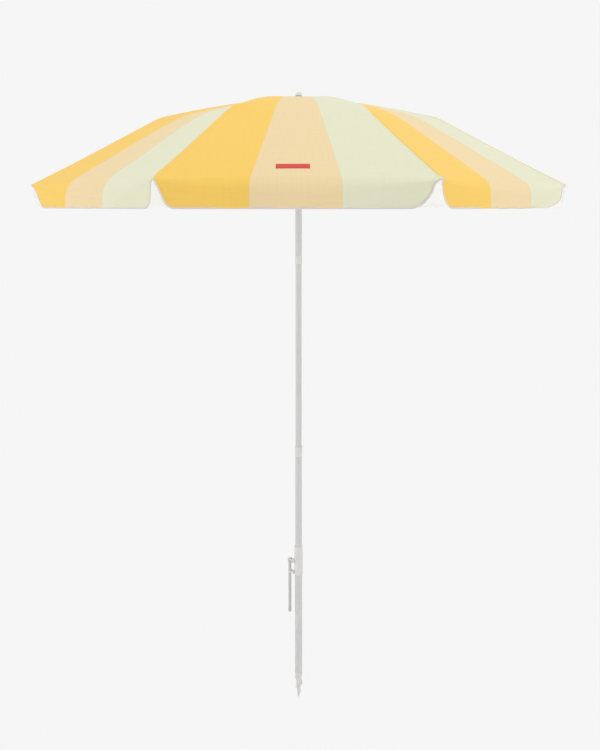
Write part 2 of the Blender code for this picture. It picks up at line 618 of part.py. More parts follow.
def tip_cap_mesh():
    """One cup-shaped cap on a rib's outer end, local to the rib's pivot."""
    cup = RIB_WIRE_RADIUS + SEAT_GAP
    floor = TIP_CAP_CUP + SEAT_GAP
    nose = TIP_CAP_LENGTH - TIP_CAP_RADIUS
    cap = turned("tip_cap", [
        (0, TIP_CAP_LENGTH), (TIP_CAP_RADIUS * 0.7, TIP_CAP_LENGTH - TIP_CAP_RADIUS * 0.3),
        (TIP_CAP_RADIUS, nose), (TIP_CAP_RADIUS, 0), (cup, 0), (cup, floor), (0, floor),
    ], WHITE_PLASTIC, 10)
    tip = Vector((RIB_TIP_RADIUS - PIVOT_RADIUS, 0, rib_axis_z(RIB_TIP_RADIUS)))
    outward = Vector((math.cos(RIB_OUTER_SLOPE), 0, -math.sin(RIB_OUTER_SLOPE)))
    cap.location = tip - outward * TIP_CAP_LENGTH
    cap.rotation_euler = (0, math.pi / 2 + RIB_OUTER_SLOPE, 0)
    mesh = settled_mesh(cap, "rib_tip_cap")
    smooth(mesh)
    return mesh


def stretcher_mesh():
    """One flat stretcher, local to its pivot on the rib clip and reaching in to the runner."""
    half = STRETCHER_HALF_DEPTH
    outline = [*arc((0, 0), half, -90, 90, 6), *arc((-LINK_LENGTH, 0), half, 90, 270, 6)]
    eyes = [circle((x, 0), CLIP_PIN_RADIUS + SEAT_GAP) for x in (0, -LINK_LENGTH)]
    strip = blade("stretcher", outline, eyes, BLADE_THICKNESS, SPRING_STEEL)
    bar = add_part("stretcher_bar", settled_mesh(strip, "stretcher"), SPRING_STEEL)
    bar.rotation_euler = (0, -math.atan2(-CLIP_Z, CLIP_X), 0)
    return settled_mesh(bar, "stretcher")


def panel_rows():
    """Radius over the rib and height of each row of the cloth, from the top hole to the hem."""
    roof = [CANOPY_HOLE_RADIUS, RIB_KINK_RADIUS * 0.33, RIB_KINK_RADIUS * 0.66, RIB_KINK_RADIUS,
            (RIB_KINK_RADIUS + RIB_TIP_RADIUS) / 2, RIB_TIP_RADIUS - 3 * VALANCE_FOLD,
            RIB_TIP_RADIUS - VALANCE_FOLD]
    rows = [(r, fabric_z(r)) for r in roof]
    rim = fabric_z(RIB_TIP_RADIUS)
    face = RIB_TIP_RADIUS + FABRIC_LIFT / 4
    rows.append((face, rim - VALANCE_FOLD / 2))
    for share in (0.3, 0.65, 1.0):
        rows.append((face + VALANCE_FOLD / 4, rim - VALANCE_DEPTH * share))
    return rows


def panel_mesh():
    """One canopy panel with its hanging valance, as a sheet local to its own pivot at the crown."""
    rows = panel_rows()
    roof_rows = len(rows) - 4
    mesh = bpy.data.meshes.new("panel")
    work = bmesh.new()
    bmesh.ops.create_grid(work, x_segments=PANEL_COLUMNS, y_segments=len(rows) - 1, size=1.0)
    for vert in work.verts:
        across = vert.co.x
        number = round((1 - vert.co.y) / 2 * (len(rows) - 1))
        radius, height = rows[number]
        half = radius * math.sin(HALF_PANEL) - PANEL_GAP / 2
        forward = radius * math.cos(HALF_PANEL)
        if number < roof_rows:
            bow = math.sin(math.pi * min(radius / RIB_TIP_RADIUS, 1))
            height -= PANEL_SAG * bow * (1 - across * across)
            half -= VALANCE_CORNER_TOP if number == roof_rows - 1 else 0
        else:
            drop = (rows[roof_rows][1] - height) / VALANCE_DEPTH
            half -= VALANCE_CORNER_TOP + (VALANCE_CORNER_HEM - VALANCE_CORNER_TOP) * drop
            forward += VALANCE_WAVE * drop * math.sin(VALANCE_WAVES * math.pi * across)
        vert.co = (forward - CANOPY_HOLE_RADIUS, across * half, height - fabric_z(CANOPY_HOLE_RADIUS))
    bmesh.ops.recalc_face_normals(work, faces=work.faces)
    work.to_mesh(mesh)
    work.free()
    sheet = add_part("panel_sheet", mesh, YELLOW_CLOTH)
    skin = sheet.modifiers.new("thickness", "SOLIDIFY")
    skin.thickness = FABRIC_THICKNESS
    skin.offset = 0
    solid = settled_mesh(sheet, "panel")
    smooth(solid, 60)
    return solid


def make_frame():
    """Eight ribs with clips, tip caps and stretchers, and the eight panels they carry."""
    rib, clip, cap = rib_mesh(), clip_mesh(), tip_cap_mesh()
    stretcher, panel = stretcher_mesh(), panel_mesh()
    for i in range(PANELS):
        at = azimuth(i)
        out = Vector((math.cos(at), math.sin(at), 0))
        pivot = out * PIVOT_RADIUS + Vector((0, 0, CROWN_Z))
        add_part(f"rib_{i + 1}", rib, SPRING_STEEL, pivot, at)
        add_part(f"rib_clip_{i + 1}", clip, WHITE_PLASTIC, pivot, at)
        add_part(f"rib_tip_cap_{i + 1}", cap, WHITE_PLASTIC, pivot, at)
        add_part(f"stretcher_{i + 1}", stretcher, SPRING_STEEL,
                 pivot + out * CLIP_X + Vector((0, 0, CLIP_Z)), at)
        middle = at + HALF_PANEL
        root = Vector((math.cos(middle), math.sin(middle), 0)) * CANOPY_HOLE_RADIUS
        root.z = CROWN_Z + fabric_z(CANOPY_HOLE_RADIUS)
        add_part(f"panel_{i + 1}", panel, YELLOW_CLOTH, root, middle)


def make_runner():
    """The sliding runner with notches for the stretchers, and the spring catch that holds it up."""
    foot = -RUNNER_SLEEVE_BELOW
    outline = [
        (RUNNER_SLEEVE_RADIUS, RUNNER_SLEEVE_ABOVE), (RUNNER_SLEEVE_RADIUS, RUNNER_FLANGE_HALF),
        (RUNNER_FLANGE_RADIUS, RUNNER_FLANGE_HALF), (RUNNER_FLANGE_RADIUS, -RUNNER_FLANGE_HALF),
        (RUNNER_SLEEVE_RADIUS, -RUNNER_FLANGE_HALF), (RUNNER_SLEEVE_RADIUS, foot + RUNNER_GRIP_HEIGHT),
        (RUNNER_GRIP_RADIUS, foot + RUNNER_GRIP_HEIGHT / 2), (RUNNER_GRIP_RADIUS, foot),
        (RUNNER_BORE, foot), (RUNNER_BORE, RUNNER_SLEEVE_ABOVE)]
    runner = profile_object("runner", [(r, RUNNER_Z + z) for r, z in outline], True,
                            POLE_SIDES, WHITE_PLASTIC)
    notch_start = RUNNER_SLEEVE_RADIUS + SEAT_GAP
    for i in range(PANELS):
        notch = around_pole("runner_notch", (notch_start, -BLADE_SLOT / 2, RUNNER_Z - 2 * RUNNER_FLANGE_HALF),
                            (2 * RUNNER_FLANGE_RADIUS, BLADE_SLOT / 2, RUNNER_Z + 2 * RUNNER_FLANGE_HALF),
                            i, WHITE_PLASTIC)
        combine(runner, notch, "DIFFERENCE")

    back = UPPER_POLE_RADIUS - CATCH_DEPTH
    blade("runner_catch", [
        (back, CATCH_TOP - CATCH_HEIGHT), (UPPER_POLE_RADIUS, CATCH_TOP - CATCH_HEIGHT),
        (UPPER_POLE_RADIUS + CATCH_REACH, CATCH_TOP), (back, CATCH_TOP)],
        [], CATCH_WIDTH, SPRING_STEEL)


make_poles()
make_collars()
make_sand_screw()
make_handle()
make_crown()
make_runner()
make_frame()
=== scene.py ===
import json
from math import atan, cos, pi, radians, sin, sqrt, tan

import bmesh
import bpy
from mathutils import Matrix, Vector


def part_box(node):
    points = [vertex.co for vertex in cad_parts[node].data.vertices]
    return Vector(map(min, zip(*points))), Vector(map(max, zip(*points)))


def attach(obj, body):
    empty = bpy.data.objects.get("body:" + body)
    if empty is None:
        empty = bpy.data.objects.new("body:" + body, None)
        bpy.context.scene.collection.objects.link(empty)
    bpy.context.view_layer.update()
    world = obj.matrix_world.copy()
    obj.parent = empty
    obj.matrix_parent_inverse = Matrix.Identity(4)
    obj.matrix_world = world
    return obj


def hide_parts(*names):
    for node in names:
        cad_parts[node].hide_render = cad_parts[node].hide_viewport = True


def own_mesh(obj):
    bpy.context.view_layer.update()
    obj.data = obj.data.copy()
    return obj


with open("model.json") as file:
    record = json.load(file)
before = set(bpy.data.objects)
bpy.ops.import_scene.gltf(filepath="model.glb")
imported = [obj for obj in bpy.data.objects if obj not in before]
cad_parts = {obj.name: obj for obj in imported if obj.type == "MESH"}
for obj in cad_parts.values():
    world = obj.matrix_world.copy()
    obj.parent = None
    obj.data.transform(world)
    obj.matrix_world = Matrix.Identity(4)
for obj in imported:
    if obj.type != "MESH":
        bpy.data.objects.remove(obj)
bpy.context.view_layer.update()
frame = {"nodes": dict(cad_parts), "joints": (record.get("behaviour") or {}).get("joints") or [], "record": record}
jointPlace = {j["name"]: Vector(j.get("pos_m", (0, 0, 0))) for j in frame["joints"]}
print("frame loaded:", len(frame["nodes"]), "pieces")


def addObject(name, data):
    made = bpy.data.objects.new(name, data)
    bpy.context.scene.collection.objects.link(made)
    return made


# Camera: the picture is 600 by 750, the view is level and looks along +Y
photo = {"width": 600, "height": 750, "focal": 656, "horizonY": 206.2, "poleX": 298.6}
cameraSpot = {"distance": 2.385, "height": 1.783, "sensor": 36.0}


def makeCamera():
    data = bpy.data.cameras.new("photoCamera")
    data.sensor_width = cameraSpot["sensor"]
    data.lens = photo["focal"] / photo["height"] * cameraSpot["sensor"]
    data.shift_y = (photo["horizonY"] - photo["height"] / 2) / photo["height"]
    data.shift_x = (photo["width"] / 2 - photo["poleX"]) / photo["height"]
    camera = addObject("photoCamera", data)
    camera.location = (0, -cameraSpot["distance"], cameraSpot["height"])
    camera.rotation_euler = (radians(90), 0, 0)
    bpy.context.scene.camera = camera


def polar(radius, angle):
    return radius * cos(angle), radius * sin(angle)


def hexColour(code):
    # sRGB hex to the linear colour that the shader wants
    found = []
    for i in (1, 3, 5):
        part = int(code[i:i + 2], 16) / 255
        found.append(part / 12.92 if part <= 0.04045 else ((part + 0.055) / 1.055) ** 2.4)
    return (*found, 1.0)


def setInputs(tree, node, inputs):
    # an input is a value, another node's socket, or a node for its first socket
    for name, value in inputs.items():
        if isinstance(value, bpy.types.Node):
            value = value.outputs[0]
        if isinstance(value, bpy.types.NodeSocket):
            tree.links.new(value, node.inputs[name])
        else:
            node.inputs[name].default_value = value


def addNode(tree, kind, inputs=None, stops=(), **settings):
    # one node with its settings and links; stops are the places and colours of a ramp
    made = tree.nodes.new("ShaderNode" + kind)
    for name, value in settings.items():
        setattr(made, name, value)
    for i, (position, code) in enumerate(stops):
        ramp = made.color_ramp.elements
        stop = ramp[i] if i < len(ramp) else ramp.new(position)
        stop.position = position
        stop.color = hexColour(code)
    setInputs(tree, made, inputs or {})
    return made


def newMaterial(name):
    made = bpy.data.materials.new(name)
    made.use_nodes = True
    return made, made.node_tree


def finishSurface(made, look, colour, wear, relief=None, others=None):
    # colour, a roughness that follows the wear pattern and a bump that follows the relief
    tree = made.node_tree
    low, high = look["rough"]
    rough = addNode(tree, "MapRange", {"Value": wear, "To Min": low, "To Max": high})
    inputs = {"Base Color": colour, "Roughness": rough, **(others or {})}
    if relief is not None:
        strength, depth = look["bump"]
        inputs["Normal"] = addNode(tree, "Bump", {"Height": relief, "Strength": strength, "Distance": depth})
    setInputs(tree, tree.nodes["Principled BSDF"], inputs)
    return made


def waves(size):
    # texture scale that gives one feature every size metres
    return 1.0 / size


def bandScale(size):
    # wave texture scale that gives one band every size metres
    return 2 * pi / 20 / size


def mottled(tree, place, size, look):
    # two close shades of one colour, mottled at a real size
    noise = addNode(tree, "TexNoise", {"Vector": place, "Scale": waves(size), "Detail": 3.0})
    ramp = addNode(tree, "ValToRGB", {"Fac": noise}, stops=((0.3, look["dark"]), (0.7, look["light"])))
    return noise, ramp


# sizes in the looks are metres; rough is a range, bump is a strength and a depth
enamelLook = {
    "dark": "#cbcbc9", "light": "#d4d4d2", "drawn": 0.012, "streak": 0.08, "peel": 0.0035,
    "rough": (0.32, 0.46), "bump": (0.06, 0.0004),
}


def powderCoatedSteel():
    # satin white powder coat baked on steel tube: faint orange peel, and long handling streaks
    made, tree = newMaterial("powderCoatedSteel")
    place = addNode(tree, "TexCoord").outputs["Object"]
    tall = addNode(tree, "Mapping", {"Vector": place, "Scale": (1, 1, enamelLook["streak"])})
    noise, colour = mottled(tree, tall, enamelLook["drawn"], enamelLook)
    # real peel is about 1 mm, drawn three times as coarse so that it shows
    peel = addNode(tree, "TexNoise", {"Vector": place, "Scale": waves(enamelLook["peel"])})
    return finishSurface(made, enamelLook, colour, noise, peel, {"IOR": 1.5})


plasticGrain = {"grit": 0.0022, "mottle": 0.03, "bump": (0.12, 0.0003)}
plasticLooks = {
    "whitePolypropylene": {"dark": "#d6d5d2", "light": "#dedddb", "rough": (0.38, 0.52)},
    "warmGreyPolypropylene": {"dark": "#bdbeb6", "light": "#c8c9c2", "rough": (0.42, 0.58)},
}


def mouldedPolypropylene(name):
    # injection moulded polypropylene: soft sheen over a fine spark-eroded grit, slightly uneven tone
    made, tree = newMaterial(name)
    look = {**plasticGrain, **plasticLooks[name]}
    place = addNode(tree, "TexCoord").outputs["Object"]
    noise, colour = mottled(tree, place, look["mottle"], look)
    # real grit is about 0.3 mm, drawn at 2 mm so that it shows
    grit = addNode(tree, "TexNoise", {"Vector": place, "Scale": waves(look["grit"]), "Detail": 4.0})
    return finishSurface(made, look, colour, noise, grit, {"IOR": 1.49})


steelLook = {
    "dark": "#9fa2a2", "light": "#c4c6c5", "spangle": 0.006, "drawLine": 0.0012,
    "rough": (0.32, 0.5), "bump": (0.1, 0.0002),
}


def galvanisedSteel():
    # zinc-dipped wire and strip: dull silver with pale spangles and fine drawing lines
    made, tree = newMaterial("galvanisedSteel")
    place = addNode(tree, "TexCoord").outputs["Object"]
    spangle = addNode(tree, "TexVoronoi", {"Vector": place, "Scale": waves(steelLook["spangle"])})
    ramp = addNode(tree, "ValToRGB", {"Fac": spangle},
        stops=((0, steelLook["light"]), (1, steelLook["dark"])))
    lines = addNode(tree, "TexNoise", {"Vector": place, "Scale": waves(steelLook["drawLine"])})
    return finishSurface(made, steelLook, ramp, spangle, lines, {"Metallic": 1.0})


rubberLook = {"dark": "#2a2a29", "light": "#3b3b39", "bloom": 0.004, "rough": (0.7, 0.9)}


def mouldedRubber():
    # black friction rubber: matt, with a dusty bloom
    made, tree = newMaterial("mouldedRubber")
    place = addNode(tree, "TexCoord").outputs["Object"]
    noise, colour = mottled(tree, place, rubberLook["bloom"], rubberLook)
    return finishSurface(made, rubberLook, colour, noise)


def stripeBands(tree, shades):
    # three equal stripes across a panel
    stripe = addNode(tree, "UVMap", uv_map="stripe")
    across = addNode(tree, "SeparateXYZ", {"Vector": stripe})
    bands = addNode(tree, "ValToRGB", {"Fac": across.outputs["X"]},
        stops=[(i / 3, shade) for i, shade in enumerate(shades)])
    bands.color_ramp.interpolation = "CONSTANT"
    return bands


clothLook = {
    "stripes": ("#f8ce64", "#efd7a7", "#e3e4c7"),  # yellow, peach and mint
    "thread": 0.0026, "slub": 0.004, "slubRun": 0.12, "slubShade": (0.982, 1.014),
    "stitch": 0.006, "stitchShare": 0.7, "stitchWide": 0.0012, "stitchShade": 0.95, "seamWide": 0.010,
    "rough": (0.74, 0.9), "bump": (0.16, 0.0005),
    "sheen": {"Sheen Weight": 0.12, "Sheen Roughness": 0.5, "Specular IOR Level": 0.25},
}


def stripedPolyester():
    # plain woven polyester, dyed in three wide stripes: soft matt face with a light sheen,
    # fine threads both ways, faint slubs, and two rows of lockstitch beside each rib seam
    made, tree = newMaterial("stripedPolyester")
    cloth = addNode(tree, "UVMap", uv_map="cloth")
    seam = addNode(tree, "UVMap", uv_map="edge")

    slubs, weave = [], []
    thin = clothLook["slub"] / clothLook["slubRun"]
    for direction, stretch in (("X", (1, thin, 1)), ("Y", (thin, 1, 1))):
        # slubs: long thin light and dark threads, a little coarser than real ones
        turned = addNode(tree, "Mapping", {"Vector": cloth, "Scale": stretch})
        slub = addNode(tree, "TexNoise", {"Vector": turned, "Scale": waves(clothLook["slub"]), "Detail": 2.0})
        slubs.append(slub)
        # threads: real spacing is about 0.3 mm, drawn at 2.6 mm so that the weave shows
        threads = addNode(tree, "TexWave", {"Vector": cloth, "Scale": bandScale(clothLook["thread"]),
            "Distortion": 0.6}, bands_direction=direction)
        weave.append(threads.outputs["Fac"])
    both = addNode(tree, "Math", {0: slubs[0], 1: slubs[1]}, operation="ADD")
    dark, light = clothLook["slubShade"]
    shade = addNode(tree, "MapRange", {"Value": both, "From Min": 0.7, "From Max": 1.3, "To Min": dark,
        "To Max": light})

    # painted shade: the stitch rows darken a little where the thread pulls into the cloth
    edge = addNode(tree, "SeparateXYZ", {"Vector": seam})
    row = addNode(tree, "Math", {0: edge.outputs["X"], 1: clothLook["seamWide"], 2: clothLook["stitchWide"]},
        operation="COMPARE")
    dash = addNode(tree, "Math", {0: edge.outputs["Y"], 1: clothLook["stitch"]}, operation="MODULO")
    sewn = addNode(tree, "Math", {0: dash, 1: clothLook["stitch"] * clothLook["stitchShare"]},
        operation="LESS_THAN")
    stitch = addNode(tree, "Math", {0: row, 1: sewn}, operation="MULTIPLY")
    stitchPaintedShade = addNode(tree, "MapRange", {"Value": stitch, "To Min": 1.0, "To Max": clothLook["stitchShade"]})

    colour = stripeBands(tree, clothLook["stripes"])
    for tone in (shade, stitchPaintedShade):
        colour = addNode(tree, "Mix", {0: 1.0, 6: colour, 7: tone}, data_type="RGBA",
            blend_type="MULTIPLY").outputs[2]
    crossed = addNode(tree, "Math", {0: weave[0], 1: weave[1]}, operation="MULTIPLY")
    height = addNode(tree, "Math", {0: crossed, 1: stitch}, operation="SUBTRACT")
    return finishSurface(made, clothLook, colour, slubs[0], height, clothLook["sheen"])


coatingLook = {
    "stripes": ("#f2f1ed", "#f1f1ee", "#f0f1ef"), "wear": 0.05, "shade": (0.95, 1.0), "rough": (0.6, 0.75),
    "glow": 0.14,  # painted glow: an emission that stands in for daylight coming through the thin cloth
}


def coatedUnderside():
    # white weather coating on the cloth's inner face: chalky, the stripes just show through, with a painted glow
    # that stands in for daylight through the cloth
    made, tree = newMaterial("coatedUnderside")
    cloth = addNode(tree, "UVMap", uv_map="cloth")
    wear = addNode(tree, "TexNoise", {"Vector": cloth, "Scale": waves(coatingLook["wear"]), "Detail": 4.0})
    dark, light = coatingLook["shade"]
    shade = addNode(tree, "MapRange", {"Value": wear, "From Min": 0.3, "From Max": 0.7, "To Min": dark,
        "To Max": light})
    bands = stripeBands(tree, coatingLook["stripes"])
    toned = addNode(tree, "Mix", {0: 1.0, 6: bands, 7: shade}, data_type="RGBA",
        blend_type="MULTIPLY").outputs[2]
    # painted glow: the coating's own colour is emitted too, so the shaded inner face looks lit
    return finishSurface(made, coatingLook, toned, wear,
        others={"Emission Color": toned, "Emission Strength": coatingLook["glow"]})


tapeLook = {"rib": 0.0022, "rough": (0.8, 0.9), "bump": (0.3, 0.0004)}
tapeSides = {
    "bindingTape": {"dark": "#dccdc6", "light": "#eae0da", "glow": 0.0},
    # painted light: the inner face is a lighter copy of the tape, and glows with the underside's painted glow
    "bindingTapeInsidePaintedLight": {"dark": "#efefec", "light": "#f3f3f1", "glow": coatingLook["glow"]},
}


def bindingTape(name):
    # white folded cotton tape: close cross ribs, a warm white outer face, and an inner face that is a lighter copy
    # of it with a painted glow, as painted light inside the canopy
    made, tree = newMaterial(name)
    side = tapeSides[name]
    cloth = addNode(tree, "UVMap", uv_map="cloth")
    # real ribs are about 0.5 mm apart, drawn at 2.2 mm so that they show
    ribs = addNode(tree, "TexWave", {"Vector": cloth, "Scale": bandScale(tapeLook["rib"]), "Distortion": 0.4},
        bands_direction="X").outputs["Fac"]
    colour = addNode(tree, "ValToRGB", {"Fac": ribs}, stops=((0, side["dark"]), (1, side["light"])))
    # painted glow on the inner face only; the outer face's strength is nought
    return finishSurface(made, tapeLook, colour, ribs, ribs,
        {"Emission Color": colour, "Emission Strength": side["glow"]})


labelLook = {
    "dark": "#cc342e", "light": "#dc473f", "thread": 0.0018, "rough": (0.6, 0.6), "bump": (0.2, 0.0003),
}


def wovenLabelCloth():
    # tightly woven red label: satin face with fine cross threads, drawn coarse so that they show
    made, tree = newMaterial("wovenLabelCloth")
    cloth = addNode(tree, "UVMap", uv_map="cloth")
    threads = addNode(tree, "TexWave", {"Vector": cloth, "Scale": bandScale(labelLook["thread"])},
        bands_direction="Y").outputs["Fac"]
    colour = addNode(tree, "ValToRGB", {"Fac": threads},
        stops=((0, labelLook["dark"]), (1, labelLook["light"])))
    return finishSurface(made, labelLook, colour, threads, threads)


slotFinish = {
    "white_enamel": powderCoatedSteel(), "white_plastic": mouldedPolypropylene("whitePolypropylene"),
    "grey_plastic": mouldedPolypropylene("warmGreyPolypropylene"), "bare_steel": galvanisedSteel(),
    "rubber_bush": mouldedRubber(), "striped_cloth": stripedPolyester(),
}
canopyInsidePaintedGlow = coatedUnderside()
tapeCloth = bindingTape("bindingTape")
tapeInsidePaintedLight = bindingTape("bindingTapeInsidePaintedLight")
labelCloth = wovenLabelCloth()
print("materials made")


def addPiece(name, mesh, slotName, body, replaced=(), finish=None):
    # one finished piece: material, the body it rides on and the CAD nodes it stands for
    mesh.materials.clear()
    mesh.materials.append(finish or slotFinish[slotName])
    piece = addObject(name, mesh)
    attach(piece, body)
    if replaced:
        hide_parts(*replaced)
    return piece


def paintFrameNodes():
    # CAD pieces whose shape is already right take the new finishes
    for entry in frame["record"]["subparts"]:
        data = frame["nodes"][entry["node"]].data
        data.materials.clear()
        data.materials.append(slotFinish[entry["material_slot"]])


def smoothShade(mesh, angle):
    mesh.shade_smooth()
    mesh.set_sharp_from_angle(angle=radians(angle))


def finishMesh(name, work):
    # normals outwards, then a mesh
    bmesh.ops.recalc_face_normals(work, faces=work.faces)
    mesh = bpy.data.meshes.new(name)
    work.to_mesh(mesh)
    work.free()
    return mesh


turnedSharp, joinedSharp = 40, 32  # edges sharper than this many degrees stay crisp
flatTurn, sideShare = 3.1, 0.45  # a flatter corner stays, and a fillet takes up to this share of a side


def filletOutline(points, radius, steps=4):
    # round each inner corner of an open outline of radius and height pairs
    made = [points[0]]
    for before, corner, after in zip(points, points[1:], points[2:]):
        b, c, a = Vector(before), Vector(corner), Vector(after)
        back, ahead = (b - c), (a - c)
        turn = back.angle(ahead, pi) if back.length and ahead.length else pi
        wanted = radius / tan(turn / 2) if turn < flatTurn else 0
        reach = min(wanted, back.length * sideShare, ahead.length * sideShare)
        if reach < 1e-6:
            made.append(corner)
            continue
        start, end = c + back.normalized() * reach, c + ahead.normalized() * reach
        for i in range(steps + 1):
            t = i / steps
            made.append(tuple(start * (1 - t) ** 2 + c * 2 * t * (1 - t) + end * t ** 2))
    made.append(points[-1])
    return made


def latheMesh(name, outline, sides, closed=False, flutes=None):
    # a turned shape about Z; flutes is (count, depth, low, high) for shallow grip grooves
    work = bmesh.new()
    rings = []
    for radius, height in outline:
        ring = []
        for i in range(sides):
            at = 2 * pi * i / sides
            reach = radius
            if flutes and flutes[2] < height < flutes[3]:
                reach -= flutes[1] * max(0, cos(at * flutes[0])) ** 2
            ring.append(work.verts.new((*polar(reach, at), height)))
            if radius < 1e-7:
                break
        rings.append(ring)
    pairs = list(zip(rings, rings[1:]))
    if closed:
        pairs.append((rings[-1], rings[0]))
    for upper, lower in pairs:
        for i in range(sides):
            corners = [upper[i % len(upper)], lower[i % len(lower)], lower[(i + 1) % len(lower)],
                upper[(i + 1) % len(upper)]]
            face = list(dict.fromkeys(corners))
            if len(face) > 2:
                work.faces.new(face)
    mesh = finishMesh(name, work)
    smoothShade(mesh, turnedSharp)
    return mesh


def plugMesh(name, radius, top, bottom, sides):
    return latheMesh(name, [(0, top), (radius, top), (radius, bottom), (0, bottom)], sides)


def sweptMesh(name, points, section):
    # carry a section along points: side and up offsets, from a function of the share of the way
    work = bmesh.new()
    rings = []
    count = len(points)
    for i, place in enumerate(points):
        ahead = (points[min(i + 1, count - 1)] - points[max(i - 1, 0)]).normalized()
        side = ahead.cross(Vector((0, 0, 1)))
        side = side.normalized() if side.length > 1e-6 else Vector((0, 1, 0))
        up = side.cross(ahead)
        rings.append([work.verts.new(place + side * s + up * u) for s, u in section(i / (count - 1))])
    for first, second in zip(rings, rings[1:]):
        for k in range(len(first)):
            n = (k + 1) % len(first)
            work.faces.new((first[k], first[n], second[n], second[k]))
    work.faces.new(rings[0])
    work.faces.new(rings[-1])
    mesh = finishMesh(name, work)
    smoothShade(mesh, turnedSharp)
    return mesh


def gridMesh(name, rows, layerNames):
    # a sheet of quads through rows of a place and its pairs, one pair for each UV layer
    work = bmesh.new()
    layers = [work.loops.layers.uv.new(layer) for layer in layerNames]
    lines, marks = [], {}
    for row in rows:
        line = []
        for place, *pairs in row:
            line.append(work.verts.new(place))
            marks[line[-1]] = pairs
        lines.append(line)
    for upper, lower in zip(lines, lines[1:]):
        for k in range(len(upper) - 1):
            face = work.faces.new((upper[k], lower[k], lower[k + 1], upper[k + 1]))
            for loop in face.loops:
                for layer, pair in zip(layers, marks[loop.vert]):
                    loop[layer].uv = pair
    return finishMesh(name, work)


def plateMesh(name, outline, halfWide, bevel=0.0):
    # an outline of x and z pairs, extruded both ways along Y
    work = bmesh.new()
    face = work.faces.new([work.verts.new((x, -halfWide, z)) for x, z in outline])
    pushed = bmesh.ops.extrude_face_region(work, geom=[face])
    moved = [v for v in pushed["geom"] if isinstance(v, bmesh.types.BMVert)]
    bmesh.ops.translate(work, vec=(0, 2 * halfWide, 0), verts=moved)
    if bevel:
        bmesh.ops.recalc_face_normals(work, faces=work.faces)
        rims = [e for e in work.edges if abs(e.verts[0].co.y - e.verts[1].co.y) < 1e-6]
        bmesh.ops.bevel(work, geom=rims, offset=bevel, segments=2, profile=0.5, affect="EDGES")
    return finishMesh(name, work)


def roundedBox(name, low, high, bevel):
    work = bmesh.new()
    low, high = Vector(low), Vector(high)
    bmesh.ops.create_cube(work, size=1.0)
    bmesh.ops.scale(work, vec=high - low, verts=work.verts)
    bmesh.ops.translate(work, vec=(low + high) / 2, verts=work.verts)
    bmesh.ops.bevel(work, geom=work.edges[:], offset=bevel, segments=3, profile=0.5, affect="EDGES")
    return finishMesh(name, work)


def joinShapes(name, base, tools):
    # unions and cuts of meshes, applied: tools are (operation, mesh) pairs
    target = addObject(name, base)
    made = [target]
    for operation, mesh in tools:
        made.append(addObject(name + "Tool", mesh))
        step = target.modifiers.new(operation, "BOOLEAN")
        step.operation = operation
        step.object = made[-1]
    bpy.context.view_layer.update()
    mesh = bpy.data.meshes.new_from_object(target.evaluated_get(bpy.context.evaluated_depsgraph_get()))
    for old in made:
        bpy.data.objects.remove(old)
    smoothShade(mesh, joinedSharp)
    return mesh


def thicken(piece, thickness, insideSlot=0):
    skin = piece.modifiers.new("clothThickness", "SOLIDIFY")
    skin.thickness = thickness
    skin.offset = 0
    skin.material_offset = insideSlot


# Canopy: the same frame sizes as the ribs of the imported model
canopy = {
    "panels": 8, "tipRadius": 0.900, "kinkRadius": 0.500, "innerSlope": 11.64, "outerSlope": 30.4,
    "lift": 0.0037, "holeRadius": 0.007, "thickness": 0.0006, "rimRadius": 0.902,
    "cornerPull": 0.001, "cornerPower": 10, "kinkSoftRib": 0.0012, "kinkSoftMid": 0.0100, "bow": 0.0085,
    "hipStart": 0.14, "hipEnd": 0.63, "hipPower": 10, "tipRise": 0.0045, "tipRiseFrom": 0.70,
    "foldRib": 0.006, "foldPower": 2.2, "valance": 0.067, "valanceWave": 0.0030, "notchFrom": 0.09,
    "seamLap": 0.0042, "seamRise": 0.0005, "flapSeam": 0.12, "seamPower": 4, "flapEase": 0.9,
    "columns": 44, "crowding": 0.35, "roofRows": 44, "foldRows": 10, "flapRows": 16, "measureColumn": 20,
    "squashedTo": 0.26, "ripple": 0.0009,
    "rippleWaves": (9, 23),  # across the panel and down it
    "hemWaves": ((1.0, 5.2, 1.7, 0), (0.6, 11, 0.9, 2)),  # height, waves across, lag per panel, offset
    "lapSteps": ((0.5, 0.9), (1.0, 0.7)),  # shares of the lap's width and of its rise
}
# hip: how far the panel swells up inside the kink; foldMid: radius of the fold over the rim;
# stripe: shift and stretch of the stripes across the panel;
# seam: how far its left seam widens towards the rim;
# each flap end is cut in from the rib: at once, then spreading with depth, then round a corner
usualPanel = {
    "hip": 0.004, "foldMid": 0.052, "stripe": (0.0, 1.0), "seam": 0.0,
    "left": {"start": 0.001, "spread": 0.033, "power": 0.65, "cornerWide": 0.020, "cornerTall": 0.020},
    "right": {"start": 0.012, "spread": 0.024, "power": 0.6, "cornerWide": 0.045, "cornerTall": 0.045},
}
ownPanel = {
    0: {
        "hip": 0.0118, "stripe": (0.0214, 1.032), "seam": 0.006,
        "left": {"start": -0.006, "spread": 0.037, "power": 0.7, "cornerWide": 0.020, "cornerTall": 0.020},
    },
    1: {
        "hip": 0.0, "stripe": (0.036, 1.0),
        "left": {"start": -0.013, "spread": 0.018, "power": 1.0, "cornerWide": 0.036, "cornerTall": 0.034},
        "right": {"start": 0.016, "spread": 0.036, "power": 0.6, "cornerWide": 0.150, "cornerTall": 0.030},
    },
    7: {
        "hip": -0.004, "foldMid": 0.085, "stripe": (0.0135, 1.067),
        "left": {"start": 0.004, "spread": 0.080, "power": 0.8, "cornerWide": 0.008, "cornerTall": 0.010},
        "right": {"start": 0.007, "spread": 0.009, "power": 1.0, "cornerWide": 0.022, "cornerTall": 0.022},
    },
}
crownZ = jointPlace["rib_fold_1"].z
pivotRadius = jointPlace["rib_fold_1"].xy.length
panelCount, roofRows = canopy["panels"], canopy["roofRows"]
